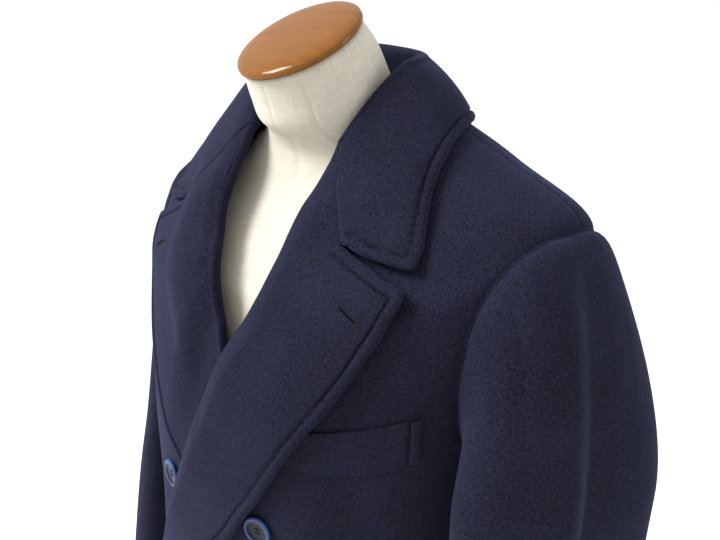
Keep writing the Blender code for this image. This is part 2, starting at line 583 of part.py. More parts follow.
# ---------------------------------------------------------------- sleeves
def armhole_ring(side):
    """Armhole points from the underarm, up the front, over the shoulder and down the back."""
    front = along(FRONT_ARMHOLE, np.linspace(0, 1, ARMHOLE_POINTS))
    back = along(BACK_ARMHOLE, np.linspace(0, 1, ARMHOLE_POINTS))[::-1]
    ring = np.concatenate([front, back[1:-1]])
    return ring[:, 0], ring[:, 1] * side


def sleeve_ring(z, turns, side):
    """Inner face of the sleeve at one height; turns runs 0 inner, 90 front, 180 outer, 270 back."""
    heights = [row[0] for row in SLEEVE_RINGS][::-1]
    ring = {name: float(smooth(heights, [row[i] for row in SLEEVE_RINGS][::-1], z))
            for i, name in enumerate(SLEEVE_COLUMNS)}
    turn = math.radians(ring["turn"])
    forward = np.array((-math.sin(turn), -math.cos(turn)))
    out = np.array((math.cos(turn), -math.sin(turn)))
    angle = np.radians(turns)
    inward, back_at_top, back_at_cuff, flatter = SLEEVE_HANG[side]
    fallen = (SLEEVE_RINGS[0][0] - z) / (SLEEVE_RINGS[0][0] - SLEEVE_RINGS[-1][0])
    trough = ring["trough"] * np.exp(-((turns - TROUGH_ANGLE) / TROUGH_WIDTH)**2)
    across = ring["across"] * (1 - flatter * (1 - fallen)) * np.cos(angle) + trough
    plan = (np.array((ring["x"], ring["y"])) + ring["along"] * np.sin(angle)[:, None] * forward
            - across[:, None] * out)
    backward = back_at_top + (back_at_cuff - back_at_top) * fallen
    return np.stack([side * (plan[:, 0] - inward), plan[:, 1] + backward, np.full(len(turns), z)], -1)


def sleeve_grids(side):
    """Inner and outer points of a sleeve: rows from the armhole down, columns round it."""
    level, angle = armhole_ring(side)
    seam = coat(angle, level, np.where(np.abs(angle) > 90, 0, panel_lift(angle, level, side)))
    normal = outward(angle, level)
    tangent = np.roll(seam, -1, 0) - np.roll(seam, 1, 0)
    away = np.cross(tangent, normal) * side
    away /= np.linalg.norm(away, axis=-1, keepdims=True)
    walk = np.linalg.norm(np.roll(seam, -1, 0) - seam, axis=-1)
    share = np.concatenate([[0], np.cumsum(walk)[:-1]]) / walk.sum()
    low = np.abs(1 - 2 * share)
    tilt = np.radians(HEAD_LIFT + (90 - HEAD_LIFT) * low
                      + UNDERARM_TURN * ramp(low, UNDERARM_SHARE, 1))[:, None]
    heading = np.cos(tilt) * away + np.sin(tilt) * normal
    facing = np.cos(tilt) * normal - np.sin(tilt) * away
    over = np.sin(np.minimum(tilt, math.pi / 2)) * (CLOTH + SEAM) + np.maximum(np.cos(tilt), 0) * CLOTH
    start = seam + away * SEAM + normal * over - facing * CLOTH
    turns = share * 360
    top = SLEEVE_RINGS[0][0]
    below = sleeve_ring(top, turns, side)
    falling = sleeve_ring(top - HEAD_FALL, turns, side) - below
    falling /= np.linalg.norm(falling, axis=-1, keepdims=True)
    drop = np.linalg.norm(below - start, axis=-1, keepdims=True)
    rows = []
    for t in HEAD_STEPS:
        rows.append((2 * t**3 - 3 * t**2 + 1) * start + (3 * t**2 - 2 * t**3) * below
                    + (t**3 - 2 * t**2 + t) * heading * np.minimum(HEAD_REACH, HEAD_SHARE * drop)
                    + (t**3 - t**2) * falling * FALL_SHARE * drop)
    for z in np.linspace(top, SLEEVE_RINGS[-1][0], CUFF_ROWS)[1:]:
        rows.append(sleeve_ring(z, turns, side))
    inner = np.array(rows)
    wrapped = np.concatenate([inner[:, -1:], inner, inner[:, :1]], 1)
    normals = -grid_normals(wrapped)[:, 1:-1] * side
    normals[0] = facing
    return inner, inner + normals * CLOTH


def make_sleeve(side):
    inner, outer = sleeve_grids(side)
    count = inner.shape[1]
    pieces = {"upper_sleeve_": list(range(FRONT_SLEEVE_SEAM, BACK_SLEEVE_SEAM + 1)),
              "under_sleeve_": [i % count for i in range(BACK_SLEEVE_SEAM, count + FRONT_SLEEVE_SEAM + 1)]}
    for name, columns in pieces.items():
        grids = [trimmed(grid[:, columns], ["start", "end"]) for grid in (inner, outer)]
        wall(name + SIDE_NAMES[side], *grids, MELTON)


# ---------------------------------------------------------------- pocket welt and buttons
def make_welt():
    """The curved welt of the breast pocket, flat on the left front."""
    share = np.linspace(0, 1, WELT_COLUMNS)
    top, bottom = along(WELT_TOP, share), along(WELT_BOTTOM, share)
    v = np.linspace(0, 1, WELT_ROWS)[:, None, None]
    domain = (1 - v) * bottom + v * top
    level, angle = domain[..., 0], domain[..., 1]
    lift = panel_lift(angle, level, 1) + CLOTH + WELT_GAP
    return wall("breast_welt", coat(angle, level, lift), coat(angle, level, lift + WELT), MELTON)


def make_button(name, level, angle, side):
    """A four-hole button: dished face, raised rim, rounded edge. Its back faces the cloth."""
    bm = bmesh.new()
    ring = [[bm.verts.new((radius * math.cos(i * math.tau / BUTTON_SIDES),
                           radius * math.sin(i * math.tau / BUTTON_SIDES), height))
             for i in range(BUTTON_SIDES)] for radius, height in BUTTON_PROFILE]
    for low, high in zip(ring, ring[1:]):
        for i in range(BUTTON_SIDES):
            j = (i + 1) % BUTTON_SIDES
            bm.faces.new((low[i], low[j], high[j], high[i]))
    bm.faces.new(ring[0])
    bm.faces.new(ring[-1])
    button = add_object(name, bm, HORN)
    cutter = hole_cutter(name)
    normal = Vector(outward(angle, level))
    place = Vector(coat(angle, level, panel_lift(angle, level, side) + CLOTH + EASE))
    for made in (button, cutter):
        made.matrix_world = Matrix.Translation(place) @ normal.to_track_quat("Z", "Y").to_matrix().to_4x4()
    holes = button.modifiers.new("thread holes", "BOOLEAN")
    holes.object = cutter
    return button


def hole_cutter(name):
    bm = bmesh.new()
    for i in range(4):
        angle = math.radians(45 + 90 * i)
        place = Matrix.Translation((HOLE_OFFSET * math.cos(angle), HOLE_OFFSET * math.sin(angle), 0))
        bmesh.ops.create_cone(bm, cap_ends=True, segments=8, radius1=HOLE_RADIUS, radius2=HOLE_RADIUS,
                              depth=HOLE_DEPTH, matrix=place)
    cutter = add_object(name + "_holes", bm, HORN)
    cutter.hide_render = True
    cutter.display_type = "WIRE"
    return cutter


# ---------------------------------------------------------------- dress form and stand
def form_ring(z, half, middle_y, front, back, lean, tip):
    """Ring of the form's torso or neck, tipped forward and to one side about its middle."""
    angle = np.linspace(0, math.tau, FORM_SIDES, endpoint=False)
    s, c = np.sin(angle), np.cos(angle)
    power = 2 / (2 + (SQUARENESS - 2) * ramp(half, *ROUND_TO_SQUARE))
    x = half * np.sign(s) * np.abs(s)**power
    y = np.where(c > 0, -front, back) * np.abs(c)**power
    lean = math.radians(lean)
    rise = y * math.sin(lean) + x * math.tan(math.radians(tip))
    return np.stack([x, middle_y + y * math.cos(lean), z + rise], -1)


def make_form():
    rings = [form_ring(**dict(zip(FORM_COLUMNS, row))) for row in FORM_RINGS]
    ring_solid("form_torso", rings, LINEN)
    tilt = (Matrix.Rotation(math.radians(-CAP_TIP), 4, "Y")
            @ Matrix.Rotation(math.radians(CAP_LEAN), 4, "X"))
    turned("neck_cap", CAP_PROFILE, Matrix.Translation(CAP_PLACE) @ tilt, WOOD, CAP_SIDES)
    turned("stand_pole", POLE_PROFILE, Matrix.Identity(4), STEEL, POLE_SIDES)
    turned("stand_base", BASE_PROFILE, Matrix.Identity(4), WOOD, BASE_SIDES)


def turned(name, profile, place, finish, sides):
    """Solid turned from a profile of (radius, height)."""
    angle = np.linspace(0, math.tau, sides, endpoint=False)
    rings = []
    for radius, height in profile:
        rings.append([place @ Vector((radius * math.cos(a), radius * math.sin(a), height)) for a in angle])
    return ring_solid(name, rings, finish)


def main():
    for old in list(bpy.data.objects):
        bpy.data.objects.remove(old)
    for side in (1, -1):
        make_front(side)
        make_back(side)
        make_lapel(side)
        make_sleeve(side)
    make_collar()
    make_welt()
    for row, level in enumerate(BUTTON_LEVELS, 1):
        for side, angle in BUTTON_ANGLES.items():
            on_side = -1 if side < 0 and row == 1 else 1
            make_button(f"button_{SIDE_NAMES[side]}_{row}", level - BUTTON_DROP[side], angle, on_side)
    make_form()


main()
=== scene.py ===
"""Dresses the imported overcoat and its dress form: cloth, stitching, buttons, linen, wood and studio.

The coat's body is one smooth shell. A point on it is named by an angle round the body (0 at the
centre front, 90 degrees at the wearer's left, 180 at the centre back) and a level, the height of
that ring at the centre front. Every piece of cloth is placed by angle, level and lift, the
distance out from the shell, and is a closed sheet with rounded edges.
"""

import math

import bpy
import numpy as np
from bpy.props import FloatProperty, FloatVectorProperty, PointerProperty
from mathutils import Matrix, Vector
from mathutils.bvhtree import BVHTree


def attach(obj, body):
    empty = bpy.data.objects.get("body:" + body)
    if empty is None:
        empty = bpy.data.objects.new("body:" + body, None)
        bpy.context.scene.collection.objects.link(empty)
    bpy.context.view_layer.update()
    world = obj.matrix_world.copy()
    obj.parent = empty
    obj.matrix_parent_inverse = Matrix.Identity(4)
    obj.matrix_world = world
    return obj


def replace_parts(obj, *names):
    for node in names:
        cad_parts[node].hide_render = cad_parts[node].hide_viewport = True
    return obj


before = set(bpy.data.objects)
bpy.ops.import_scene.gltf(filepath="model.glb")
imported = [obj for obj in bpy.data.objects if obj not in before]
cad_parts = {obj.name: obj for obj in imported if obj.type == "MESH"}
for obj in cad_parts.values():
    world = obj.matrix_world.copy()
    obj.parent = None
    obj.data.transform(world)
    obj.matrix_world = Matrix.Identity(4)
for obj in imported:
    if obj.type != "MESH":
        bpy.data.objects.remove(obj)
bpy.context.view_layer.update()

bl_info = {
    "name": "Wool Overcoat on a Dress Form",
    "version": (1, 0, 0),
    "blender": (4, 5, 0),
    "location": "3D View > Sidebar > Overcoat",
    "description": "Builds a double-breasted wool overcoat on a linen dress form",
    "category": "Add Mesh",
}

# ---------------------------------------------------------------- sizes of the coat, in metres
CLOTH = 0.0024            # one layer of heavy melton
FACED = 0.0045            # two layers turned and pressed: collar and lapels
WELT = 0.0030
SEAM = 0.0003             # gap between two pieces that are sewn edge to edge
EASE = 0.0012             # clearance between two pieces that lie on each other
HEM = 0.460
BREAK = 1.045             # where the lapels start to turn
LAP_RISE = 1.022          # from here up to the break the lap rises to clear the right lapel
LAP_FADE_LEVELS = 1.300, 1.370
LAP_FADE_START, LAP_FADE_END = 12, 36            # degrees past the right front's edge
NECK = 1.450
NECK_DIP = 0.008
NECK_DIP_START, NECK_DIP_END = 31, 64
UNDERARM = 1.225
SHOULDER = 1.345
SQUARENESS = 2.3
BACK_FALL = 1.35
DEGREE = 0.0035           # what a degree spans round the chest
ANGLE_STEP, LEVEL_STEP = 0.06, 0.0003

RING_COLUMNS = ("level", "left", "right", "middle_y", "front", "back",
                "side_z", "back_z", "ridge", "drop", "set_back")
RINGS = (
    (0.460, 0.255, 0.255, 0.000, 0.190, 0.190, 0.460, 0.460, 2.0, 0.000, 0.000),   # hem
    (0.900, 0.215, 0.212, 0.000, 0.158, 0.150, 0.900, 0.900, 2.0, 0.000, 0.000),   # hip
    (1.080, 0.198, 0.203, 0.000, 0.160, 0.124, 1.080, 1.080, 2.0, 0.000, 0.004),   # waist
    (1.235, 0.215, 0.208, 0.005, 0.172, 0.142, 1.235, 1.245, 2.0, 0.000, 0.010),   # chest
    (1.345, 0.238, 0.216, 0.013, 0.167, 0.110, 1.432, 1.367, 4.0, 0.016, 0.026),   # shoulder
    (1.405, 0.160, 0.156, 0.014, 0.135, 0.082, 1.476, 1.445, 4.0, 0.008, 0.008),   # yoke
    (1.450, 0.078, 0.078, 0.010, 0.090, 0.050, 1.510, 1.507, 3.0, 0.004, 0.000),   # neck
)
FLUTE_TOP = 1.020
FLUTES = ((52, 13, -0.007), (118, 15, 0.010), (150, 12, -0.009),
          (-60, 14, -0.006), (-112, 14, 0.009), (-146, 12, -0.010))

# Lines on the shell, as (level, angle). The left side is 1 and the right one -1.
ROLL = {1: ((0.460, -31), (0.900, -31), (1.030, -29.5), (1.045, -27.5), (1.073, -21.8),
            (1.130, -14.1), (1.193, -6.2), (1.236, -2.0), (1.305, 2.7), (1.350, 7.2),
            (1.387, 11.2), (1.4205, 16.9), (1.437, 26), (1.450, 38)),
        -1: ((0.460, 25), (0.900, 25), (1.030, 24), (1.045, 22.5), (1.073, 19),
             (1.130, 13), (1.193, 7), (1.236, 3.5), (1.302, 1.6), (1.350, -0.5),
             (1.380, -4.5), (1.4205, -16.9), (1.437, -26), (1.450, -38))}
ROLL_RISE = ((1.30, 0), (1.387, 0.001), (1.4205, 0.007), (1.437, 0.012), (1.450, 0.016))
ROLL_RISE_WIDTH = 18.0
LAPEL_EDGE = ((1.045, -26.0), (1.062, -14.5), (1.085, -5.5), (1.112, 1.6), (1.1374, 6.9),
              (1.1682, 11.6), (1.1967, 16.3), (1.2305, 20.9), (1.2592, 25.2), (1.2858, 29.7),
              (1.3114, 33.3), (1.3358, 36.5), (1.3488, 39.1), (1.3589, 42.6), (1.3651, 45.0))
HIDDEN_LAPEL = ((0, 1.5), (0.030, 9))
HIDDEN_LAPEL_TOP = 1.100
GORGE = ((1.450, 38), (1.437, 36.3), (1.418, 33.7), (1.400, 32.5))        # roll line to notch
LAPEL_TOP = ((1.400, 32.5), (1.3905, 36.1), (1.3812, 39.4), (1.3751, 41.3), (1.3651, 45.0))
COLLAR_END = ((1.4015, 32.9), (1.3935, 36.5), (1.3862, 41.1), (1.3792, 45.2), (1.3724, 49.1))
COLLAR_EDGE = ((1.3724, 49.1), (1.3795, 51.5), (1.3861, 53.7), (1.3924, 56.1), (1.4024, 60.7),
               (1.4117, 66.1), (1.4170, 72.5), (1.4237, 83.6), (1.4290, 96), (1.4312, 112),
               (1.4305, 135), (1.4275, 180))
FRONT_ARMHOLE = ((1.225, 90), (1.228, 80), (1.238, 71), (1.262, 63.5), (1.296, 59.7),
                 (1.317, 59.3), (1.332, 60.6), (1.3445, 64.1), (1.3493, 71.0),
                 (1.3490, 77.2), (1.3455, 85.4), (1.345, 90))
BACK_ARMHOLE = ((1.225, 90), (1.228, 99), (1.240, 108), (1.262, 113), (1.290, 115.5),
                (1.312, 116), (1.330, 114), (1.341, 108), (1.345, 100), (1.345, 90))

# Where the body panels' corners and bends lie, as shares of their rows and columns.
RISE_SHARE, BREAK_SHARE, UNDERARM_ROW = 7 / 23, 8 / 23, 12 / 23
NECK_SHARE = 5 / 13
NECK_ANGLES = (38, 51, 64, 77, 90)
PANEL_HOLD = 3

# Angle round the neck, x, y and z of the collar's fold.
FOLD = ((38, 0.0565, -0.0712, 1.4865), (51, 0.0655, -0.0555, 1.5115), (64, 0.073, -0.036, 1.534),
        (77, 0.0775, -0.016, 1.549), (90, 0.076, -0.001, 1.552), (135, 0.050, 0.033, 1.552),
        (180, 0.0, 0.046, 1.552), (225, -0.050, 0.033, 1.552))
FOLD_STEP = 2
FOLD_RADIUS = 0.0018
STAND_GAP = 0.0020
COLLAR_BULGE = 0.006
COLLAR_REST = 0.0018
COLLAR_FAN = ((38, 49.1), (51, 54), (64, 63), (77, 75), (90, 90), (180, 180))
GORGE_BLEND = 0.3
GORGE_STEPS, END_STEPS = 25, 15                  # steps down the collar's front end
GORGE_SHARE = GORGE_STEPS / (GORGE_STEPS + END_STEPS)
STAND_POINTS, FOLD_POINTS = 8, 11                # points up the collar's stand and over its fold
COLLAR_NOTCH = STAND_POINTS + FOLD_POINTS - 1 + GORGE_STEPS

# How far a lapel bulges, by the share of its width.
LAPEL_ROLL = {1: ((0, 0), (0.12, 0.0045), (0.30, 0.008), (0.65, 0.0065), (1, 0.0060)),
              -1: ((0, 0), (0.15, 0.007), (0.42, 0.011), (0.75, 0.004), (1, 0.0015))}
LAPEL_WIDTHS = 0.010, 0.070
ROLL_SHARE = 0.15
COVERED = 0.0030          # the right lapel's thickness under the left front
COVER_START, COVER_END = 12, 3

SLEEVE_COLUMNS = ("z", "x", "y", "along", "across", "turn", "trough")
SLEEVE_RINGS = (
    (1.212, 0.268, -0.030, 0.092, 0.046, 24, 0.013),
    (1.130, 0.270, -0.036, 0.089, 0.046, 23, 0.015),
    (1.050, 0.273, -0.043, 0.085, 0.048, 21, 0.013),
    (0.930, 0.276, -0.054, 0.075, 0.045, 17, 0.008),
    (0.815, 0.281, -0.065, 0.065, 0.041, 14, 0.003),
)
SLEEVE_TOP, SLEEVE_END = SLEEVE_RINGS[0][0], SLEEVE_RINGS[-1][0]
# The right sleeve hangs flatter and farther back: how far in, back at its top ring and at its
# cuff, and by what share it is flatter at the top.
SLEEVE_HANG = {1: (0, 0, 0, 0), -1: (0.014, 0.044, 0.032, 0.42)}
HEAD_LIFT = 48            # degrees up from the body at which the sleeve leaves the shoulder point
HEAD_REACH, HEAD_SHARE = 0.115, 0.6
HEAD_FALL, FALL_SHARE = 0.020, 1.1
UNDERARM_TURN, UNDERARM_SHARE = 60, 0.55
ARMHOLE_STEPS = 11        # steps from the underarm to the shoulder point, front or back
FRONT_SLEEVE_SEAM, BACK_SLEEVE_SEAM = 3, 18

WELT_TOP = ((1.2612, 22.6), (1.2628, 25.5), (1.2640, 28.8), (1.2661, 35.2), (1.2691, 42.1),
            (1.2718, 48.5), (1.2718, 52.5))
WELT_BOTTOM = ((1.2320, 18.6), (1.2305, 22.7), (1.2287, 25.5), (1.2284, 29.9), (1.2296, 34.6),
               (1.2320, 39.5), (1.2358, 44.3), (1.2407, 49.1), (1.2441, 54.2))
WELT_LIFT = 0.00027       # gap between the welt and the front
WELT_SIZE = 0.115, 0.036  # its rough length and height
WELT_THIN, WELT_FULL = 0.45, 0.25                # thickness where it is sewn on, and full from
WELT_CRISP, WELT_SWELL = 1.5, 0.7                # how crisp its edges are, and low its swell

BUTTON_LEVELS = (1.158, 1.011, 0.864)
BUTTON_ANGLES = {1: 14.4, -1: -18.6}
BUTTON_DROP = {1: 0, -1: 0.010}      # the right column hangs lower
CAP_LEAN, CAP_TIP = 28.9, 6.4
CAP_PLACE = (0, -0.0645, 1.5594)
SIDE_NAMES = {1: "left", -1: "right"}

# ---------------------------------------------------------------- sizes of the finish, in metres
FOLD_NOSE = 0.0034        # radius of the middle of the cloth round a lapel's roll line
TURN_IN, TURN_IN_CLOTH = 0.016, 0.0020           # facing inside the roll line: width, thickness
TURN_IN_FADE = 0.004      # over how much turned-in cloth thins out at its inner edge
SOFT_EDGE = 0.0036        # how far in from a turned and pressed edge its rounding reaches
SEWN_EDGE, SEAM_DIP = 0.0020, 0.00040            # width of a sewn edge, and how far it is drawn
MOST_DIP = 0.9            # in, at most this share of the cloth's half thickness
SEAM_SINK, SEAM_SINK_WIDTH = 0.0004, 0.0035      # how a seam pulls the cloth beside it in
LAPEL_POINT, COLLAR_POINT = 0.0055, 0.0090       # how far from their points they are rounded
FACING_WIDTH, HEM_DEPTH = 0.060, 0.040           # turned-in cloth inside front edge and hem
STITCH_OUT, STITCH_IN = 0.002, 0.001             # how a line of stitches fades at its ends
STITCHES_PAST_BREAK = 0.02                       # how far they run on, as a share of the rows
ROWS_TO_COLLAR = 0.78, 1.0     # rows in which a lapel's roll climbs to the collar's fold
LEAST_ROLL, ROLL_START = 0.08, 0.10              # size of the roll at the break; full from this row
THIN_START = 0.35         # share of a lapel's thickness at its lower end
NARROWEST = 0.004         # least width of a lapel's rows
DIP_SHARE = 15 / 16       # share of the lapel's rows below the dip in the neck seam
ROOT_IN, ROOT_UP = 0.0006, 0.0008                # a sleeve's edge, in from and up on the body's edge
ROOT_ROWS = (0, 0.3, 0.65)                       # rows from there to the seam
HEAD_ROWS = (0, 0.006, 0.014, 0.024)             # close rows below it
HEAD_FULLNESS = 0.0010, 0.0050                   # how proud the sleeve head stands beside its seam,
FULL_SHARE = 0.4                                 # low and high, and over what share of the head
# A long crease down each sleeve: its angle, and its widths in degrees before and after that. The
# left one has a ridge before it.
CREASES = {1: (181, 7.5, 40), -1: (190, 17, 17)}
RIDGE_BEFORE, RIDGE_WIDTH, RIDGE = 11, 9, 0.0010
EDGE_STEPS = (0, 0.0003, 0.0008, 0.0015, 0.0026)
STITCHED_STEPS = EDGE_STEPS + (0.0040, 0.0055, 0.0070, 0.0082, 0.0091, 0.0100, 0.0109, 0.0118,
                               0.0130, 0.0150, 0.0180)
END_SHARE, COLUMN_END_SHARE = 0.48, 0.45         # share of a short row that close steps may take
PANEL_ROWS = 0.6, 1.6, 0.0055                    # stretch of the close rows below, above; pitch
CORNER_ROWS = 0.97        # from this row up a column runs to the panel's neck corner
PANEL_COLUMNS, LAPEL_COLUMNS, COLLAR_ROWS = 84, 56, 281
LAPEL_HEIGHT, LAPEL_PITCH = 0.46, 0.0032
TURN_STEPS, INSIDE_STEPS = 14, 7                 # columns round a lapel's roll line, and inside it
SLEEVE_PITCH, SLEEVE_COLUMN_STEP, HEAD_STEPS = 0.0065, 0.08, 29
BESIDE_SEAM = (-0.03, -0.012, 0.012, 0.03)       # extra columns beside a sleeve's seams
DENSE = 401               # points of a finely drawn edge
BATCH = 4000              # points measured at a time
HOLE_LENGTH, LIP_GAP = 0.020, 0.00015            # a buttonhole, and half the gap in it
# Size of the dark plate that is painted shade in a buttonhole's slit.
SLIT_RADIUS, SLIT_DEPTH = 0.0005, 0.0016
HOLE_PROBE = 0.06         # how far out the search for the cloth under a hole starts
PURL_LENGTH, PURL_WIDTH, PURL_HEIGHT = 0.0021, 0.00085, 0.0009       # one buttonhole stitch
BUTTON_PROFILE = ((0.0100, 0), (0.0132, 0.0008), (0.0142, 0.0022), (0.0138, 0.0036),
                  (0.0126, 0.0043), (0.0112, 0.0040), (0.0090, 0.0028), (0.0075, 0.0025))
HOLE_OFFSET, HOLE_RADIUS = 0.0030, 0.0011
# Between these radii the horn takes on the rim's painted highlight.
RIM_HIGHLIGHT_START = 0.0100, 0.0122          # radii between which the horn turns to its rim's colour
THREAD_RADIUS, LOOP_STRETCH = 0.0006, (1, 1.5, 0.42)
SHANK_PROFILE = ((0.0026, -0.0020), (0.0020, -0.0006), (0.0026, 0.0006))
SMOOTH_ANGLE = 35         # sharper edges of turned pieces stay sharp
CAP_PROFILE = ((0.0524, 0), (0.0560, 0.0005), (0.0578, 0.0026), (0.0574, 0.0055),
               (0.0542, 0.0081), (0.0474, 0.0098), (0.0346, 0.0108), (0.0182, 0.0113),
               (0.0010, 0.0114))
POLE_PROFILE = ((0.0125, 0.0246), (0.0125, 0.7820), (0.0300, 0.7830), (0.0300, 0.7997))
BASE_PROFILE = ((0.1780, 0), (0.1800, 0.0020), (0.1800, 0.0140), (0.1765, 0.0180),
                (0.1680, 0.0205), (0.0400, 0.0243))
# z, half width, middle y, depth in front and behind, and degrees tipped forward and aside.
FORM_RINGS = (
    (0.800, 0.150, 0.005, 0.100, 0.106, 0, 0), (0.808, 0.162, 0.005, 0.110, 0.117, 0, 0),
    (0.840, 0.168, 0.005, 0.116, 0.122, 0, 0), (0.920, 0.166, 0.004, 0.116, 0.119, 0, 0),
    (1.000, 0.152, 0.002, 0.110, 0.106, 0, 0), (1.080, 0.146, 0.000, 0.112, 0.098, 0, 0),
    (1.160, 0.155, 0.002, 0.128, 0.108, 0, 0), (1.240, 0.170, 0.004, 0.148, 0.122, 0, 0),
    (1.300, 0.182, 0.009, 0.154, 0.122, 0, 0), (1.345, 0.190, 0.014, 0.150, 0.110, 0, 0),
    (1.380, 0.192, 0.016, 0.131, 0.098, 0, 0), (1.405, 0.182, 0.015, 0.109, 0.084, 0, 0),
    (1.428, 0.160, 0.012, 0.088, 0.070, 0, 0), (1.446, 0.133, 0.007, 0.075, 0.062, 0, 0),
    (1.462, 0.105, 0.000, 0.067, 0.057, 0, 0), (1.478, 0.082, -0.009, 0.062, 0.056, 6, 0),
    (1.494, 0.068, -0.019, 0.060, 0.057, 14, 1), (1.513, 0.0605, -0.034, 0.063, 0.060, 20, 2.5),
    (1.536, 0.0598, -0.048, 0.059, 0.058, 26, 4.5),
    (1.5586, 0.0537, -0.064, 0.0537, 0.0537, 28.9, 6.4),
)
ROUND_TO_SQUARE = 0.060, 0.160
FORM_SIDES, FORM_PITCH = 240, 0.004
FORM_SEAMS = (0, 38, 90, 142, 180, 218, 270, 322)      # where the linen's panels meet
FORM_SEAM_DEPTH, FORM_SEAM_WIDTH = 0.0007, 0.0016

STITCH_PITCH = 0.0042     # from one stitch to the next
LINEN_THREAD = 0.0015
WAVE_SCALE = math.tau / 20                       # a wave texture's scale for one band to a metre
PORE_LEVEL = 0.64         # the pore noise above this is an open pore

# Each buttonhole's piece, the level and angle of its middle, and how it is turned, in degrees.
BUTTONHOLES = (
    ("buttonhole_lapel_left", "lapel_left_cloth", 1.3591, 30.9, -31),
    ("buttonhole_lapel_right", "lapel_right_cloth", 1.3620, -28.0, 31),
    ("buttonhole_front_2", "front_left_cloth", 1.0010, -21.6, 0),
    ("buttonhole_front_3", "front_left_cloth", 0.8540, -21.6, 0),
)


# ---------------------------------------------------------------- curves and the body shell
def hermite(t, start, end, start_slope, end_slope):
    """Cubic from start to end at t, with its slopes there for t from 0 to 1."""
    return ((2 * t**3 - 3 * t**2 + 1) * start + (t**3 - 2 * t**2 + t) * start_slope
            + (3 * t**2 - 2 * t**3) * end + (t**3 - t**2) * end_slope)


def smooth(xs, ys, x):
    """Smooth curve through (xs, ys) that never overshoots, read at x."""
    xs, ys = np.asarray(xs, float), np.asarray(ys, float)
    x = np.clip(np.asarray(x, float), xs[0], xs[-1])
    step = np.diff(xs)
    rise = np.diff(ys) / step
    slope = np.zeros(len(xs))
    for i in range(1, len(xs) - 1):
        if rise[i - 1] * rise[i] > 0:
            a, b = 2 * step[i] + step[i - 1], step[i] + 2 * step[i - 1]
            slope[i] = (a + b) / (a / rise[i - 1] + b / rise[i])
    slope[0], slope[-1] = rise[0], rise[-1]
    k = np.clip(np.searchsorted(xs, x, "right") - 1, 0, len(xs) - 2)
    return hermite((x - xs[k]) / step[k], ys[k], ys[k + 1], step[k] * slope[k],
                   step[k] * slope[k + 1])


def smooth_rows(places, rows, at):
    return np.stack([smooth(places, column, at) for column in np.transpose(rows)], -1)


def straight_rows(places, rows, at):
    return np.stack([np.interp(at, places, column) for column in np.transpose(rows)], -1)


def read(table, at, column=1):
    """A column of a table, read by the first one."""
    return smooth([row[0] for row in table], [row[column] for row in table], at)


def ramp(x, start, end):
    """0 before start, 1 past end, smooth between."""
    t = np.clip((np.asarray(x, float) - start) / (end - start), 0, 1)
    return t * t * (3 - 2 * t)


def bell(x, width):
    return np.exp(-(x / width)**2)


def walked(points, scale=1.0):
    """Length walked along a line of points, up to each of them."""
    steps = np.linalg.norm(np.diff(np.asarray(points, float) * scale, axis=0), axis=-1)
    return np.concatenate([[0], np.cumsum(steps)])


def along(points, count):
    """(level, angle) points at even steps along an edge, or at given shares of its length."""
    walk = walked(points, (1, DEGREE))
    shares = np.linspace(0, 1, count) if isinstance(count, int) else count
    return smooth_rows(walk / walk[-1], points, shares)


def unit(vector):
    return vector / np.maximum(np.linalg.norm(vector, axis=-1, keepdims=True), 1e-12)


def shell(angle, level):
    """Point of the body shell; angle in degrees."""
    angle, level = np.broadcast_arrays(np.asarray(angle, float), np.asarray(level, float))
    ring = {name: read(RINGS, level, i) for i, name in enumerate(RING_COLUMNS)}
    s, c = np.sin(np.radians(angle)), np.cos(np.radians(angle))
    power = 2 / SQUARENESS
    flute = sum(depth * bell((angle - at + 180) % 360 - 180, width * math.sqrt(2))
                for at, width, depth in FLUTES) * (1 - ramp(level, HEM, FLUTE_TOP))
    right = s < 0
    x = np.where(right, ring["right"], ring["left"]) * np.sign(s) * np.abs(s)**power
    y = ring["middle_y"] + np.where(c > 0, -ring["front"], ring["back"]) * np.abs(c)**power
    y = y + np.where(right, ring["set_back"] * s * s, 0)
    top = ring["side_z"] - np.where(right, ring["drop"], 0)
    front_z = level + (top - level) * np.abs(s)**ring["ridge"]
    back_z = top - (top - ring["back_z"]) * np.abs(c)**BACK_FALL
    return np.stack([x + flute * s, y - flute * c, np.where(c > 0, front_z, back_z)], -1)


def outward(angle, level):
    """Unit normal of the body shell."""
    angle = np.asarray(angle, float)
    level = np.clip(np.asarray(level, float), HEM + LEVEL_STEP, NECK - LEVEL_STEP)
    round_way = shell(angle + ANGLE_STEP, level) - shell(angle - ANGLE_STEP, level)
    up_way = shell(angle, level + LEVEL_STEP) - shell(angle, level - LEVEL_STEP)
    return unit(np.cross(round_way, up_way))


def coat(angle, level, lift=0.0):
    """Point at a lift out from the body shell."""
    angle, level, lift = np.broadcast_arrays(*(np.asarray(x, float) for x in (angle, level, lift)))
    return shell(angle, level) + outward(angle, level) * lift[..., None]


def roll_angle(level, side):
    """Angle of the left (1) or right (-1) front's inner edge: its front edge, then the roll."""
    return read(ROLL[side], level)


def neck_level(angle):
    return NECK - NECK_DIP * (1 - ramp(np.abs(angle), NECK_DIP_START, NECK_DIP_END))


def climb(angle, level, side):
    """How far the cloth beside the roll line climbs off the shell, up to the collar's fold."""
    return read(ROLL_RISE, level) * bell(angle - roll_angle(level, side), ROLL_RISE_WIDTH)


def panel_lift(angle, level, side):
    """Lift of a front's inner face. The left front laps over the right one and its lapel."""
    level, angle = np.asarray(level, float), np.asarray(angle, float)
    lift = climb(angle, level, side)
    if side > 0:
        on_panel = CLOTH + EASE
        on_lapel = on_panel + COVERED + 2 * EASE
        beneath = on_panel + (on_lapel - on_panel) * ramp(level, LAP_RISE, BREAK)
        right_edge = roll_angle(level, -1)
        covered = 1 - ramp(angle, right_edge + LAP_FADE_START, right_edge + LAP_FADE_END)
        lift = lift + beneath * (1 - ramp(level, *LAP_FADE_LEVELS)) * covered
    return lift


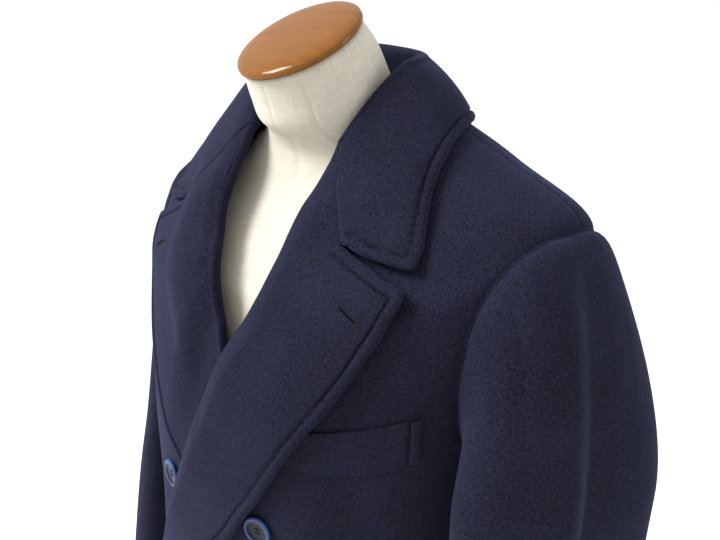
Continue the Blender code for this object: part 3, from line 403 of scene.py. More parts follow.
def surface(angle, level, side, lift=0.0):
    """Point at a lift out from a front's inner face."""
    return coat(angle, level, panel_lift(angle, level, side) + lift)


# ---------------------------------------------------------------- closed sheets of cloth
def steps(length, near, far, pitch):
    """Places from 0 to length: close together at both ends, at about the pitch between."""
    fit = min(1.0, END_SHARE * length / max(near[-1], far[-1]))
    start, end = near[-1] * fit, length - far[-1] * fit
    count = max(2, round((end - start) / pitch))
    middle = np.linspace(start, end, count + 1)[1:-1]
    return np.concatenate([np.multiply(near, fit), middle, length - np.multiply(far, fit)[::-1]])


def column_steps(width, near, far, count):
    """Like steps, for rows of different width: the same number of columns in each."""
    width = np.asarray(width, float)[:, None]
    fit = np.minimum(1.0, COLUMN_END_SHARE * width / max(near[-1], far[-1]))
    start, end = np.asarray(near) * fit, width - np.asarray(far)[::-1] * fit
    share = np.linspace(0, 1, count + 2)[None, 1:-1]
    return np.concatenate([start, start[:, -1:] + (end[:, :1] - start[:, -1:]) * share, end], 1)


def patch(edges, side, v, u, hold=1):
    """Level and angle at row shares v and column shares u of the patch that four edges span."""
    v, u = v[:, None, None], u[..., None]
    ends = np.array([0.0, 1.0])
    first, last = (edge(v[:, 0, 0])[:, None] for edge in edges[:2])
    start, end = (edge(ends) for edge in edges[:2])
    bottom, top = (edge(u[..., 0]) - ((1 - u) * start[k] + u * end[k])
                   for k, edge in enumerate(edges[2:]))
    domain = (1 - u) * first + u * last + (1 - v)**hold * bottom + v**hold * top
    return domain[..., 0], domain[..., 1] * side


def row_widths(edges, side, v):
    start, end = (shell(edge(v)[:, 1] * side, edge(v)[:, 0]) for edge in edges[:2])
    return np.linalg.norm(end - start, axis=-1)


def grid_normals(grid):
    return unit(np.cross(np.gradient(grid, axis=1), np.gradient(grid, axis=0)))


def edge_distance(points, line):
    """Distance of points from a line, and how far along it; past its ends that runs on."""
    flat = points.reshape(-1, 3)
    way = np.diff(line, axis=0)
    length = np.linalg.norm(way, axis=-1)
    walk = walked(line)
    distance, place = np.empty(len(flat)), np.empty(len(flat))
    for at in range(0, len(flat), BATCH):
        from_start = flat[at:at + BATCH, None] - line[None, :-1]
        t = (from_start * way).sum(-1) / np.maximum(length**2, 1e-14)
        held = np.clip(t, 0, 1)
        gap = np.linalg.norm(from_start - held[..., None] * way, axis=-1)
        best = gap.argmin(1)
        row = np.arange(len(best))
        t, held = t[row, best], held[row, best]
        past = ((best == 0) & (t < 0)) | ((best == len(way) - 1) & (t > 1))
        distance[at:at + BATCH] = gap[row, best]
        place[at:at + BATCH] = walk[best] + np.where(past, t, held) * length[best]
    return distance.reshape(points.shape[:-1]), place.reshape(points.shape[:-1])


def nearest(points, *lines):
    """Distance of points from the nearest of some lines."""
    return np.min([edge_distance(points, line)[0] for line in lines], 0)


def rounded(distance, radius):
    """Share of the cloth's full thickness at a distance from its edge."""
    return np.sqrt(1 - (1 - np.clip(distance / radius, 0, 1))**2)


def edged(from_free, from_sewn, half):
    """Share of the half thickness that the cloth's outer face keeps: round at a free edge, and
    only drawn in a little at a sewn one."""
    dip = np.minimum(SEAM_DIP / half, MOST_DIP) * (1 - np.clip(from_sewn / SEWN_EDGE, 0, 1))**2
    return np.minimum(rounded(from_free, SOFT_EDGE), 1 - dip)


def stitched(distance, place, length):
    """Height of the outer face beside a swelled edge, and how near a point is to its stitches."""
    size = bpy.context.scene.overcoat_sizes
    inside = (ramp(place, -STITCH_OUT, STITCH_IN)
              * (1 - ramp(place, length - STITCH_IN, length + STITCH_OUT)))
    near = bell(distance - size.stitch_inset, size.stitch_width) * inside
    swell = np.sin(np.pi * np.clip(distance / size.stitch_inset, 0, 1))**2 * inside
    return size.swell * swell - size.stitch_depth * near, near


def drawn_in(middle, normal, from_seam):
    """A middle surface that its seams pull in."""
    return middle - normal * (SEAM_SINK * bell(from_seam, SEAM_SINK_WIDTH))[..., None]


def turned_in(distance, depth):
    """How much thicker the cloth is where an edge is turned in to that depth."""
    return (FACED - CLOTH) * (1 - ramp(distance, depth, depth + TURN_IN_FADE))


def inner_half(turned_in_cloth, from_free, from_sewn):
    edge = np.minimum(rounded(from_free, SOFT_EDGE), rounded(from_sewn, SEWN_EDGE))
    return (CLOTH / 2 + turned_in_cloth) * edge


def link(name, data):
    """Adds a new object to the scene."""
    made = bpy.data.objects.new(name, data)
    bpy.context.scene.collection.objects.link(made)
    return made


def add_piece(name, mesh, kind):
    """Adds a finished mesh to the scene as a piece of the coat or its form."""
    mesh.materials.clear()
    mesh.materials.append(finish(kind))
    made = link(name, mesh)
    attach(made, "root")
    return made


def cloth_object(name, middle, normal, over, under, stitches=None):
    """Closed sheet round a middle surface, in place of a node. Its rim is shared by both faces.

    over and under are how far each face lies from the middle. stitches is how near each point is
    to a line of stitches, and how far along that line."""
    rows, columns = middle.shape[:2]
    inner = np.zeros((rows, columns), bool)
    inner[1:-1, 1:-1] = True
    outside = middle + normal * over[..., None]
    inside = (middle - normal * under[..., None])[inner]
    front = np.arange(rows * columns).reshape(rows, columns)
    back = front.copy()
    back[inner] = rows * columns + np.arange(inner.sum())
    faces = []
    for index, order in ((front, 1), (back, -1)):
        corners = index[:-1, :-1], index[:-1, 1:], index[1:, 1:], index[1:, :-1]
        faces.append(np.stack(corners, -1).reshape(-1, 4)[:, ::order])
    way = np.cross(middle[1, 2] - middle[1, 1], middle[2, 1] - middle[1, 1])
    quads = np.concatenate(faces)[:, ::-1 if np.dot(way, normal[1, 1]) < 0 else 1]
    mesh = bpy.data.meshes.new(name + "_cloth")
    points = np.concatenate([outside.reshape(-1, 3), inside])
    mesh.from_pydata(points.tolist(), [], quads.tolist())
    if stitches is not None:
        for label, values in zip(("stitch_line", "stitch_walk"), stitches):
            both = np.concatenate([values.reshape(-1), values[inner]])
            mesh.attributes.new(label, "FLOAT", "POINT").data.foreach_set("value", both)
    mesh.shade_smooth()
    piece = add_piece(name + "_cloth", mesh, "milled wool melton")
    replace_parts(piece, name)


def faced_object(name, middle, normal, thickness, free_line, *sewn_lines):
    """A turned and pressed sheet, stitched along its free edge and sewn on at the others."""
    gap, place = edge_distance(middle, free_line)
    edge = edged(gap, nearest(middle, *sewn_lines), thickness / 2)
    half = thickness / 2 * edge
    relief, near_stitch = stitched(gap, place, walked(free_line)[-1])
    cloth_object(name, middle, normal, half + relief * edge, half, (near_stitch, place))


# ---------------------------------------------------------------- body panels
def level_at(v, top):
    return np.interp(v, (0, RISE_SHARE, BREAK_SHARE, 1), (HEM, LAP_RISE, BREAK, top))


def outer_edge(armhole):
    """Side seam, then armhole."""
    def edge(v):
        seam = np.interp(v, (0, RISE_SHARE, BREAK_SHARE, UNDERARM_ROW),
                         (HEM, LAP_RISE, BREAK, UNDERARM))
        hole = along(armhole, np.clip((v - UNDERARM_ROW) / (1 - UNDERARM_ROW), 0, 1))
        side_seam = np.stack([seam, np.full(seam.shape, 90.0)], -1)
        return np.where((v <= UNDERARM_ROW)[..., None], side_seam, hole)
    return edge


def top_edge(neck_angles):
    """Neck seam, then shoulder seam."""
    stations = np.linspace(0, NECK_SHARE, len(neck_angles))

    def edge(u):
        angle = np.interp(u, stations, neck_angles)
        level = np.where(angle > 90, NECK, neck_level(angle))
        shoulder = NECK + (SHOULDER - NECK) * np.clip((u - NECK_SHARE) / (1 - NECK_SHARE), 0, 1)
        return np.stack([np.where(u > NECK_SHARE, shoulder, level), angle], -1)
    return edge


def panel_edges(side, back):
    """Inner edge, outer edge, hem and top of a front or a back."""
    if back:
        top, armhole, neck_angles = NECK, BACK_ARMHOLE, (180, 90)
    else:
        top, armhole = NECK - NECK_DIP, FRONT_ARMHOLE
        neck_angles = (float(roll_angle(top, side) * side),) + NECK_ANGLES

    def inner_edge(v):
        level = level_at(v, top)
        return np.stack([level, 180.0 + 0 * level if back else roll_angle(level, side) * side], -1)

    def hem(u):
        start = inner_edge(0.0)[1]
        return np.stack([np.full(u.shape, HEM), start + (90 - start) * u], -1)
    return inner_edge, outer_edge(armhole), hem, top_edge(neck_angles)


def lapel_scale(v):
    """How full the roll is up a lapel: it starts from nothing at the break."""
    return ramp(v, 0, ROLL_START)


def make_panel(side, back):
    """A front or a back: seams drawn in, the hem and the front edge turned in and thicker."""
    edges = panel_edges(side, back)
    at_hem, at_top, pitch = PANEL_ROWS
    v = steps(1.0, np.multiply(EDGE_STEPS, at_hem), np.multiply(EDGE_STEPS, at_top), pitch)
    v[np.abs(v - UNDERARM_ROW).argmin()] = UNDERARM_ROW
    width = row_widths(edges, side, v)
    under_fold = np.zeros(len(v))
    if not back:
        above = np.clip((v - BREAK_SHARE) / (1 - BREAK_SHARE), 0, 1)
        under_fold = (FOLD_NOSE + FACED / 2) * lapel_scale(above)
    near = EDGE_STEPS if back else STITCHED_STEPS
    along_row = column_steps(width - under_fold, near, EDGE_STEPS, PANEL_COLUMNS)
    u = (under_fold[:, None] + along_row) / width[:, None]
    corner = int(np.abs(u[-1] - NECK_SHARE).argmin())
    u[v > CORNER_ROWS, corner] = NECK_SHARE
    level, angle = patch(edges, side, v, u, PANEL_HOLD)
    if back:
        middle = coat(angle, level, CLOTH / 2)
    else:
        middle = surface(angle, level, side, CLOTH / 2)
    normal = outward(angle, level)
    inner = middle[:, 0]
    from_sewn = nearest(middle, middle[:, -1], middle[-1, corner:], inner if back else middle[-1])
    from_free = nearest(middle, middle[0], middle[-1, :corner + 1], middle[0] if back else inner)
    middle = drawn_in(middle, normal, from_sewn)
    edge = edged(from_free, from_sewn, CLOTH / 2)
    over = CLOTH / 2 * edge
    thicker = turned_in(edge_distance(middle, middle[0])[0], HEM_DEPTH)
    stitches = None
    if not back:
        line = middle[v < BREAK_SHARE + STITCHES_PAST_BREAK, 0]
        gap, place = edge_distance(middle, line)
        relief, near_stitch = stitched(gap, place, walked(line)[-1])
        over = over + relief * edge
        thicker = np.maximum(thicker, turned_in(gap, FACING_WIDTH))
        stitches = near_stitch, place
    cloth_object(("back_" if back else "front_") + SIDE_NAMES[side], middle, normal, over,
                 inner_half(thicker, from_free, from_sewn), stitches)


# ---------------------------------------------------------------- lapels
def rounded_point(first, second, radius):
    """Two edges, dense lines of (level, angle) that end at one point, with that point rounded."""
    lines = first, second
    backs = [walked(line[::-1], (1, DEGREE))[::-1] for line in lines]
    starts = [straight_rows(back[::-1], line[::-1], radius) for back, line in zip(backs, lines)]
    found = []
    for line, back, start, other in zip(lines, backs, starts, starts[::-1]):
        t = np.clip(1 - back / radius, 0, 1)[:, None] / 2
        arc = (1 - t)**2 * start + 2 * t * (1 - t) * line[-1] + t**2 * other
        found.append(np.where((back < radius)[:, None], arc, line))
    return found


def reader(line):
    """Function that reads a dense line of (level, angle) by the share of its points."""
    return lambda t: straight_rows(np.linspace(0, 1, len(line)), line, t)


def lapel_edges(side):
    """Roll line, outer edge, lower end and top of a lapel."""
    levels = np.interp(np.linspace(0, 1, DENSE), (0, DIP_SHARE, 1),
                       (BREAK, NECK - NECK_DIP, NECK))
    roll = np.stack([levels, roll_angle(levels, side) * side], -1)
    table = LAPEL_EDGE
    if side < 0:
        table = ([(BREAK + rise, roll[0, 1] + out) for rise, out in HIDDEN_LAPEL]
                 + [row for row in LAPEL_EDGE if row[0] > HIDDEN_LAPEL_TOP])
    top = np.concatenate([along([roll[-1], *GORGE[1:]], 251), along(LAPEL_TOP, 151)[1:]])
    edge, top = rounded_point(along(table, DENSE), top, LAPEL_POINT)
    return [reader(line) for line in (roll, edge, np.linspace(roll[0], edge[0], 51), top)]


def lapel_lift(side, angle, level, share, width):
    """Lift of a lapel's under face, and its thickness."""
    lift = (panel_lift(angle, level, side) + CLOTH + SEAM + (EASE - SEAM) * ramp(share, 0, ROLL_SHARE)
            + read(LAPEL_ROLL[side], share) * ramp(width, *LAPEL_WIDTHS)[:, None])
    thick = np.full(level.shape, FACED)
    if side < 0:
        left_edge = roll_angle(level, 1)
        cover = ramp(angle, left_edge - COVER_START, left_edge - COVER_END)
        lift = lift + (CLOTH + EASE - lift) * cover
        thick = thick + (COVERED - thick) * cover
    return lift, thick


def lapel_surface(side, v, places):
    """Angle, level, lift, thickness and width of a lapel at row shares v.

    places are distances across it from the roll line, one row of them for each v."""
    edges = lapel_edges(side)
    width = np.maximum(row_widths(edges, side, v), NARROWEST)
    share = np.clip(places(width) / width[:, None], 0, 1)
    level, angle = patch(edges, side, v, share)
    return angle, level, *lapel_lift(side, angle, level, share, width), width


def make_lapel(side):
    """A lapel: the facing inside, round the roll line, and out over the front to the point.

    Its top is drawn up to the end of the collar, so that the roll runs on into the collar's fold."""
    v = steps(LAPEL_HEIGHT, EDGE_STEPS, STITCHED_STEPS, LAPEL_PITCH) / LAPEL_HEIGHT
    scale = LEAST_ROLL + (1 - LEAST_ROLL) * lapel_scale(v)
    nose = FOLD_NOSE + FACED / 2

    def across(width):
        start = nose * scale
        return start[:, None] + column_steps(width - start, (0,), STITCHED_STEPS, LAPEL_COLUMNS)

    angle, level, lift, thick, width = lapel_surface(side, v, across)
    upper = coat(angle, level, lift + thick / 2)
    turn = np.radians(np.linspace(-90, 90, TURN_STEPS + 1))[:-1]
    inside = np.linspace(1, 0, INSIDE_STEPS + 1)[:-1]
    out = nose - FOLD_NOSE * np.cos(turn)
    far = np.concatenate([nose + TURN_IN * inside, out])[None] * scale[:, None]
    angle_in, level_in, *_ = lapel_surface(side, v, lambda _: far)
    top = (lift + thick / 2)[:, :1]
    bottom = panel_lift(angle_in, level_in, side) - (EASE + TURN_IN_CLOTH / 2) * scale[:, None]
    height = np.concatenate([np.zeros(len(inside)), (1 + np.sin(turn)) / 2])[None]
    wrapped = coat(angle_in, level_in, bottom + (top - bottom) * height)
    middle = np.concatenate([wrapped, upper], 1)
    to_notch = int(np.abs(across(width)[-1] / width[-1] - GORGE_SHARE).argmin())
    notch = wrapped.shape[1] + to_notch
    climb_up = np.zeros(middle.shape[1:])
    climb_up[:notch + 1] = collar_end(side, to_notch) - middle[-1, :notch + 1]
    climb_up[notch + 1:] = climb_up[notch]
    middle = middle + ramp(v, *ROWS_TO_COLLAR)[:, None, None] * climb_up
    facing = TURN_IN_CLOTH + (FACED - TURN_IN_CLOTH) * height * np.ones((len(v), 1))
    thin = THIN_START + (1 - THIN_START) * lapel_scale(v)
    thickness = np.concatenate([facing, thick], 1) * thin[:, None]
    faced_object("lapel_" + SIDE_NAMES[side], middle, grid_normals(middle) * side, thickness,
                 np.concatenate([middle[:, -1], middle[-1, -2:notch - 1:-1]]),
                 middle[-1, :notch + 1], middle[:, 0], middle[0])


# ---------------------------------------------------------------- collar
def fold_point(angle, side):
    return np.stack([read(FOLD, angle, i) for i in (1, 2, 3)], -1) * (side, 1, 1)


def gorge_line(side, start):
    """Under side of the collar's front end: down the gorge to the notch, then its own end edge."""
    gorge = along([(NECK, abs(float(roll_angle(NECK, side)))), *GORGE[1:]], GORGE_STEPS + 1)
    end, _ = rounded_point(along(COLLAR_END, 4 * END_STEPS + 1), along(COLLAR_EDGE, DENSE)[::-1],
                           COLLAR_POINT)
    path = np.concatenate([gorge, end[4::4]])
    share = np.linspace(0, 1, len(path))
    row = surface(path[:, 1] * side, path[:, 0], side,
                  CLOTH + EASE + read(LAPEL_ROLL[side], share))
    return row + (start - row[0]) * (1 - ramp(share, 0, GORGE_BLEND))[:, None]


def collar_section(station, side):
    """Under side of the collar at one station: up the stand, over the fold, down the leaf."""
    level = neck_level(station)
    neck, below = (coat(side * station, at, climb(side * station, at, side) + CLOTH)
                   for at in (level, level - STAND_GAP))
    base = neck + unit(neck - below) * STAND_GAP
    ahead, behind = min(station + FOLD_STEP, 180), max(station - FOLD_STEP, FOLD[0][0])
    up = np.array((0, 0, 1.0))
    out = unit(np.cross(fold_point(ahead, side) - fold_point(behind, side), side * up))
    centre = fold_point(station, side) - up * (FACED + FOLD_RADIUS)
    turn = np.radians(np.linspace(180, 0, FOLD_POINTS))[:, None]
    fold = centre + FOLD_RADIUS * (np.cos(turn) * out + np.sin(turn) * up)
    stand = base + (fold[0] - base) * np.linspace(0, 1, STAND_POINTS + 1)[:-1, None]
    if station <= FOLD[0][0]:
        leaf = gorge_line(side, fold[-1])
    else:
        edge_angle = read(COLLAR_FAN, station)
        edge_level = read([row[::-1] for row in COLLAR_EDGE], edge_angle)
        edge = coat(side * edge_angle, edge_level, CLOTH + EASE)
        control = (fold[-1] + edge) / 2 + (out + up) * COLLAR_BULGE
        t = np.linspace(0, 1, GORGE_STEPS + END_STEPS + 1)[:, None]
        leaf = (1 - t)**2 * fold[-1] + 2 * t * (1 - t) * control + t**2 * edge
    return np.concatenate([stand, fold, leaf[1:]])


def spline(rows, count):
    """Rows of points drawn out to more rows by a smooth curve through each column."""
    slope = np.gradient(rows, axis=0)
    x = np.linspace(0, len(rows) - 1, count)
    k = np.minimum(x.astype(int), len(rows) - 2)
    return hermite((x - k)[:, None, None], rows[k], rows[k + 1], slope[k], slope[k + 1])


def body_tree():
    """Coarse outer surface of the coat's body, for the collar to rest on."""
    angles, levels = np.meshgrid(np.arange(-180.0, 181, 3), np.linspace(UNDERARM, NECK, 60))
    lift = np.where(angles > 0, panel_lift(angles, levels, 1), panel_lift(angles, levels, -1))
    points = coat(angles, levels, np.where(np.abs(angles) > 90, 0, lift) + CLOTH)
    rows, columns = angles.shape
    faces = [(i * columns + j, i * columns + j + 1, (i + 1) * columns + j + 1, (i + 1) * columns + j)
             for i in range(rows - 1) for j in range(columns - 1)]
    return BVHTree.FromPolygons([Vector(p) for p in points.reshape(-1, 3)], faces)


def rest_on(tree, points):
    """Move points out until they clear the coat under them."""
    moved = points.copy()
    for index in np.ndindex(points.shape[:-1]):
        place, normal, _, _ = tree.find_nearest(Vector(points[index]))
        height = (Vector(points[index]) - place).dot(normal)
        if height < COLLAR_REST:
            moved[index] = points[index] + np.array(normal) * (COLLAR_REST - height)
    return moved


def collar_surface():
    """Middle of the collar's cloth, from its left end round the neck to its right end."""
    stations = np.concatenate([NECK_ANGLES, np.linspace(90, 180, 6)[1:]])
    halves = [np.array([collar_section(station, side) for station in stations]) for side in (1, -1)]
    leaf = STAND_POINTS + FOLD_POINTS
    tree = body_tree()
    for half in halves:
        half[1:, leaf:] = rest_on(tree, half[1:, leaf:])
    under = spline(np.concatenate([halves[0], halves[1][-2::-1]]), COLLAR_ROWS)
    under[2:-2, leaf:] = rest_on(tree, under[2:-2, leaf:])
    return under + grid_normals(under) * FACED / 2


def collar_end(side, leaf_count):
    """The collar's end from inside its stand, over the fold and down the gorge to the notch."""
    end = collar_surface()[0 if side > 0 else -1]
    walk = walked(end)
    fold, leaf, notch = walk[[STAND_POINTS, STAND_POINTS + FOLD_POINTS - 1, COLLAR_NOTCH]]
    places = np.concatenate([np.linspace(fold - TURN_IN, fold, INSIDE_STEPS + 1)[:-1],
                             np.linspace(fold, leaf, TURN_STEPS + 1)[:-1],
                             np.linspace(leaf, notch, leaf_count + 1)])
    return straight_rows(walk, end, places)


def make_collar():
    middle = collar_surface()
    notch = COLLAR_NOTCH
    free = np.concatenate([middle[0, notch:], middle[1:-1, -1], middle[-1, :notch - 1:-1]])
    faced_object("collar", middle, grid_normals(middle), FACED, free,
                 middle[0, :notch + 1], middle[-1, :notch + 1], middle[:, 0])


# ---------------------------------------------------------------- sleeves
def armhole_at(place):
    """(level, angle) round the armhole: from the underarm up the front, then down the back."""
    front = along(FRONT_ARMHOLE, np.clip(place / ARMHOLE_STEPS, 0, 1))
    back = along(BACK_ARMHOLE, np.clip(2 - place / ARMHOLE_STEPS, 0, 1))
    return np.where((place <= ARMHOLE_STEPS)[:, None], front, back)


def sleeve_ring(z, turns, side):
    """Inner face of the sleeve at one height; turns runs 0 inner, 90 front, 180 outer, 270 back."""
    ring = {name: float(read(SLEEVE_RINGS[::-1], z, i)) for i, name in enumerate(SLEEVE_COLUMNS)}
    turn = math.radians(ring["turn"])
    forward = np.array((-math.sin(turn), -math.cos(turn)))
    out = np.array((math.cos(turn), -math.sin(turn)))
    angle = np.radians(turns)
    inward, back_at_top, back_at_cuff, flatter = SLEEVE_HANG[side]
    fallen = (SLEEVE_TOP - z) / (SLEEVE_TOP - SLEEVE_END)
    crease, before, after = CREASES[side]
    trough = ring["trough"] * bell(turns - crease, np.where(turns < crease, before, after))
    if side > 0:
        trough -= RIDGE * bell(turns - crease + RIDGE_BEFORE, RIDGE_WIDTH)
    across = ring["across"] * (1 - flatter * (1 - fallen)) * np.cos(angle) + trough
    plan = (np.array((ring["x"], ring["y"])) + ring["along"] * np.sin(angle)[:, None] * forward
            - across[:, None] * out)
    backward = back_at_top + (back_at_cuff - back_at_top) * fallen
    return np.stack([side * (plan[:, 0] - inward), plan[:, 1] + backward, np.full(len(turns), z)], -1)


def sleeve_grid(side, places):
    """Inner points of a sleeve, its rows from the armhole down, and the normals of its first row.

    The first row lies under the body's edge, where the two are sewn."""
    ring = armhole_at(places)
    level, angle = ring[:, 0], ring[:, 1] * side
    seam = coat(angle, level, np.where(np.abs(angle) > 90, 0, panel_lift(angle, level, side)))
    normal = outward(angle, level)
    away = unit(np.cross(np.roll(seam, -1, 0) - np.roll(seam, 1, 0), normal) * side)
    walk = walked(np.concatenate([seam, seam[:1]]))
    share = walk[:-1] / walk[-1]
    low = np.abs(1 - 2 * share)
    tilt = np.radians(HEAD_LIFT + (90 - HEAD_LIFT) * low
                      + UNDERARM_TURN * ramp(low, UNDERARM_SHARE, 1))[:, None]
    heading = np.cos(tilt) * away + np.sin(tilt) * normal
    facing = np.cos(tilt) * normal - np.sin(tilt) * away
    over = (np.sin(np.minimum(tilt, math.pi / 2)) * (CLOTH + SEAM)
            + np.maximum(np.cos(tilt), 0) * CLOTH)
    start = seam + away * SEAM + normal * over - facing * CLOTH
    turns = share * 360
    below = sleeve_ring(SLEEVE_TOP, turns, side)
    falling = unit(sleeve_ring(SLEEVE_TOP - HEAD_FALL, turns, side) - below)
    drop = np.linalg.norm(below - start, axis=-1, keepdims=True)
    root = seam - away * ROOT_IN + normal * ROOT_UP
    least, most = HEAD_FULLNESS
    full = facing * (least + (most - least) * (1 - low)**2)[:, None]
    rows = [root + (start - root) * t for t in ROOT_ROWS]
    for t in HEAD_ROWS + tuple(np.linspace(0, 1, HEAD_STEPS + 1)[1:]):
        proud = math.sin(math.pi * math.sqrt(min(t / FULL_SHARE, 1)))**2
        rows.append(hermite(t, start, below, heading * np.minimum(HEAD_REACH, HEAD_SHARE * drop),
                            falling * FALL_SHARE * drop) + full * proud)
    for fallen in steps(SLEEVE_TOP - SLEEVE_END, (0,), EDGE_STEPS, SLEEVE_PITCH)[1:]:
        rows.append(sleeve_ring(SLEEVE_TOP - fallen, turns, side))
    return np.array(rows), facing


def make_sleeve(side):
    """Upper and under sleeve, seamed at the front and the back, with the cuff turned in."""
    seams = FRONT_SLEEVE_SEAM, BACK_SLEEVE_SEAM
    beside_seams = [seam + off for seam in seams for off in BESIDE_SEAM]
    columns = np.arange(0, 2 * ARMHOLE_STEPS, SLEEVE_COLUMN_STEP)
    places = np.unique(np.round(np.concatenate([columns, beside_seams]), 4))
    inner, facing = sleeve_grid(side, places)
    wrapped = np.concatenate([inner[:, -1:], inner, inner[:, :1]], 1)
    normal = -grid_normals(wrapped)[:, 1:-1] * side
    normal[:len(ROOT_ROWS) + 1] = facing
    middle = inner + normal * CLOTH / 2
    first, last = (int(np.abs(places - seam).argmin()) for seam in seams)
    for name, columns in (
            ("upper_sleeve_", np.arange(first, last + 1)),
            ("under_sleeve_", np.arange(last, len(places) + first + 1) % len(places))):
        part, way = middle[:, columns], normal[:, columns]
        from_seam = nearest(part, part[:, 0], part[:, -1])
        from_sewn = np.minimum(from_seam, nearest(part, part[0]))
        from_cuff = nearest(part, part[-1])
        edge = edged(from_cuff, from_sewn, CLOTH / 2)
        cloth_object(name + SIDE_NAMES[side], drawn_in(part, way, from_seam), way, CLOTH / 2 * edge,
                     inner_half(turned_in(from_cuff, HEM_DEPTH), from_cuff, from_sewn))


# ---------------------------------------------------------------- breast pocket welt
def make_welt():
    """The welt: thin where it is sewn on below, and soft-edged and stitched along its end."""
    length, height = WELT_SIZE
    across = steps(length, EDGE_STEPS, STITCHED_STEPS, 0.003) / length
    up = steps(height, EDGE_STEPS, EDGE_STEPS, 0.0015)[:, None] / height
    top, bottom = along(WELT_TOP, across), along(WELT_BOTTOM, across)
    level, angle = ((1 - up) * bottom[:, i] + up * top[:, i] for i in (0, 1))
    thick = WELT * (WELT_THIN + (1 - WELT_THIN) * ramp(up, 0, WELT_FULL))
    middle = surface(angle, level, 1, CLOTH + WELT_LIFT + thick / 2)
    free = nearest(middle, middle[-1], middle[:, 0], middle[:, -1])
    edge = edged(free * WELT_CRISP, nearest(middle, middle[0]), thick / 2)
    half = thick / 2 * edge
    gap, place = edge_distance(middle, middle[:, -1])
    relief, near_stitch = stitched(gap, place, 1)
    cloth_object("breast_welt", middle, outward(angle, level), half + WELT_SWELL * relief * edge,
                 half, (near_stitch, place))


# ---------------------------------------------------------------- turned pieces, buttons, buttonholes
def deselect():
    bpy.ops.object.select_all(action="DESELECT")


def edit_all():
    bpy.ops.object.mode_set(mode="EDIT")
    bpy.ops.mesh.select_all(action="SELECT")


def smooth_by_angle():
    bpy.ops.object.shade_smooth_by_angle(angle=math.radians(SMOOTH_ANGLE))


def stretch(x, y, z):
    """Scales the active mesh about its origin."""
    edit_all()
    bpy.ops.transform.resize(value=(x, y, z), center_override=(0, 0, 0))
    bpy.ops.object.mode_set(mode="OBJECT")


def joined(kept, parts):
    """One of some parts, with the others joined to it."""
    deselect()
    for part in parts:
        part.select_set(True)
    bpy.context.view_layer.objects.active = kept
    bpy.ops.object.join()
    return kept


def turned(name, profile, count, sides):
    """A disc extruded and scaled step by step up a profile of (radius, height), as on a lathe.

    count is how many steps to draw out between the profile's own."""
    walk = walked(profile)
    places = np.unique(np.concatenate([np.linspace(0, walk[-1], count), walk]))
    (radius, height), *others = smooth_rows(walk, profile, places).tolist()
    deselect()
    bpy.ops.mesh.primitive_circle_add(vertices=sides, radius=radius, fill_type="NGON",
                                      location=(0, 0, height))
    made = bpy.context.object
    made.name = name
    bpy.ops.object.transform_apply(location=True)
    edit_all()
    for wider, higher in others:
        up = {"value": (0, 0, higher - height)}
        bpy.ops.mesh.extrude_region_move(TRANSFORM_OT_translate=up)
        share = wider / radius
        bpy.ops.transform.resize(value=(share, share, 1), center_override=(0, 0, higher))
        radius, height = wider, higher
    bpy.ops.mesh.select_all(action="SELECT")
    bpy.ops.mesh.normals_make_consistent(inside=False)
    bpy.ops.object.mode_set(mode="OBJECT")
    smooth_by_angle()
    return made


def placed_copy(pattern, name, place, kind):
    """A copy of a pattern piece with its own mesh, moved there in its mesh."""
    mesh = pattern.data.copy()
    mesh.transform(place)
    return add_piece(name, mesh, kind)


def discard(*patterns):
    for pattern in patterns:
        bpy.data.objects.remove(pattern)


def button_pattern():
    """A horn disc turned with a raised rim, and four holes drilled through it."""
    button = turned("button_pattern", BUTTON_PROFILE, 26, 64)
    deselect()
    drills = []
    for angle in np.radians((45, 135, 225, 315)):
        spot = (HOLE_OFFSET * math.cos(angle), HOLE_OFFSET * math.sin(angle), 0)
        bpy.ops.mesh.primitive_cylinder_add(vertices=20, radius=HOLE_RADIUS, depth=0.02, location=spot)
        drills.append(bpy.context.object)
    drill = joined(drills[-1], drills)
    bpy.ops.object.transform_apply(location=True)
    deselect()
    bpy.context.view_layer.objects.active = button
    bpy.ops.object.modifier_add(type="BOOLEAN")
    cut = button.modifiers[-1]
    cut.operation, cut.object, cut.solver = "DIFFERENCE", drill, "EXACT"
    bpy.ops.object.modifier_apply(modifier=cut.name)
    discard(drill)
    button.select_set(True)
    smooth_by_angle()
    # The rim mask: where the horn is painted paler and bluer as a highlight on its raised rim.
    reach = np.array([v.co.xy.length for v in button.data.vertices])
    rim = button.data.attributes.new("rim", "FLOAT", "POINT")
    rim.data.foreach_set("value", ramp(reach, *RIM_HIGHLIGHT_START))
    return button


def thread_pattern():
    """Two loops of twist that hold a button, and the wound shank under it."""
    spacing = HOLE_OFFSET * math.sqrt(0.5)
    shank = turned("shank_pattern", SHANK_PROFILE, 8, 16)
    loops = []
    for y in (-spacing, spacing):
        deselect()
        bpy.ops.mesh.primitive_torus_add(major_radius=spacing, minor_radius=THREAD_RADIUS,
                                         major_segments=32, minor_segments=10,
                                         rotation=(math.pi / 2, 0, 0))
        loops.append(bpy.context.object)
        bpy.ops.object.transform_apply(rotation=True)
        edit_all()
        bpy.ops.mesh.bisect(plane_co=(0, 0, 0), plane_no=(0, 0, 1), use_fill=True, clear_inner=True)
        bpy.ops.mesh.select_all(action="SELECT")
        bpy.ops.transform.resize(value=LOOP_STRETCH, center_override=(0, 0, 0))
        bpy.ops.transform.translate(value=(0, y, BUTTON_PROFILE[-1][1] - THREAD_RADIUS / 2))
        bpy.ops.object.mode_set(mode="OBJECT")
        bpy.ops.object.shade_smooth()
    return joined(shank, (*loops, shank))


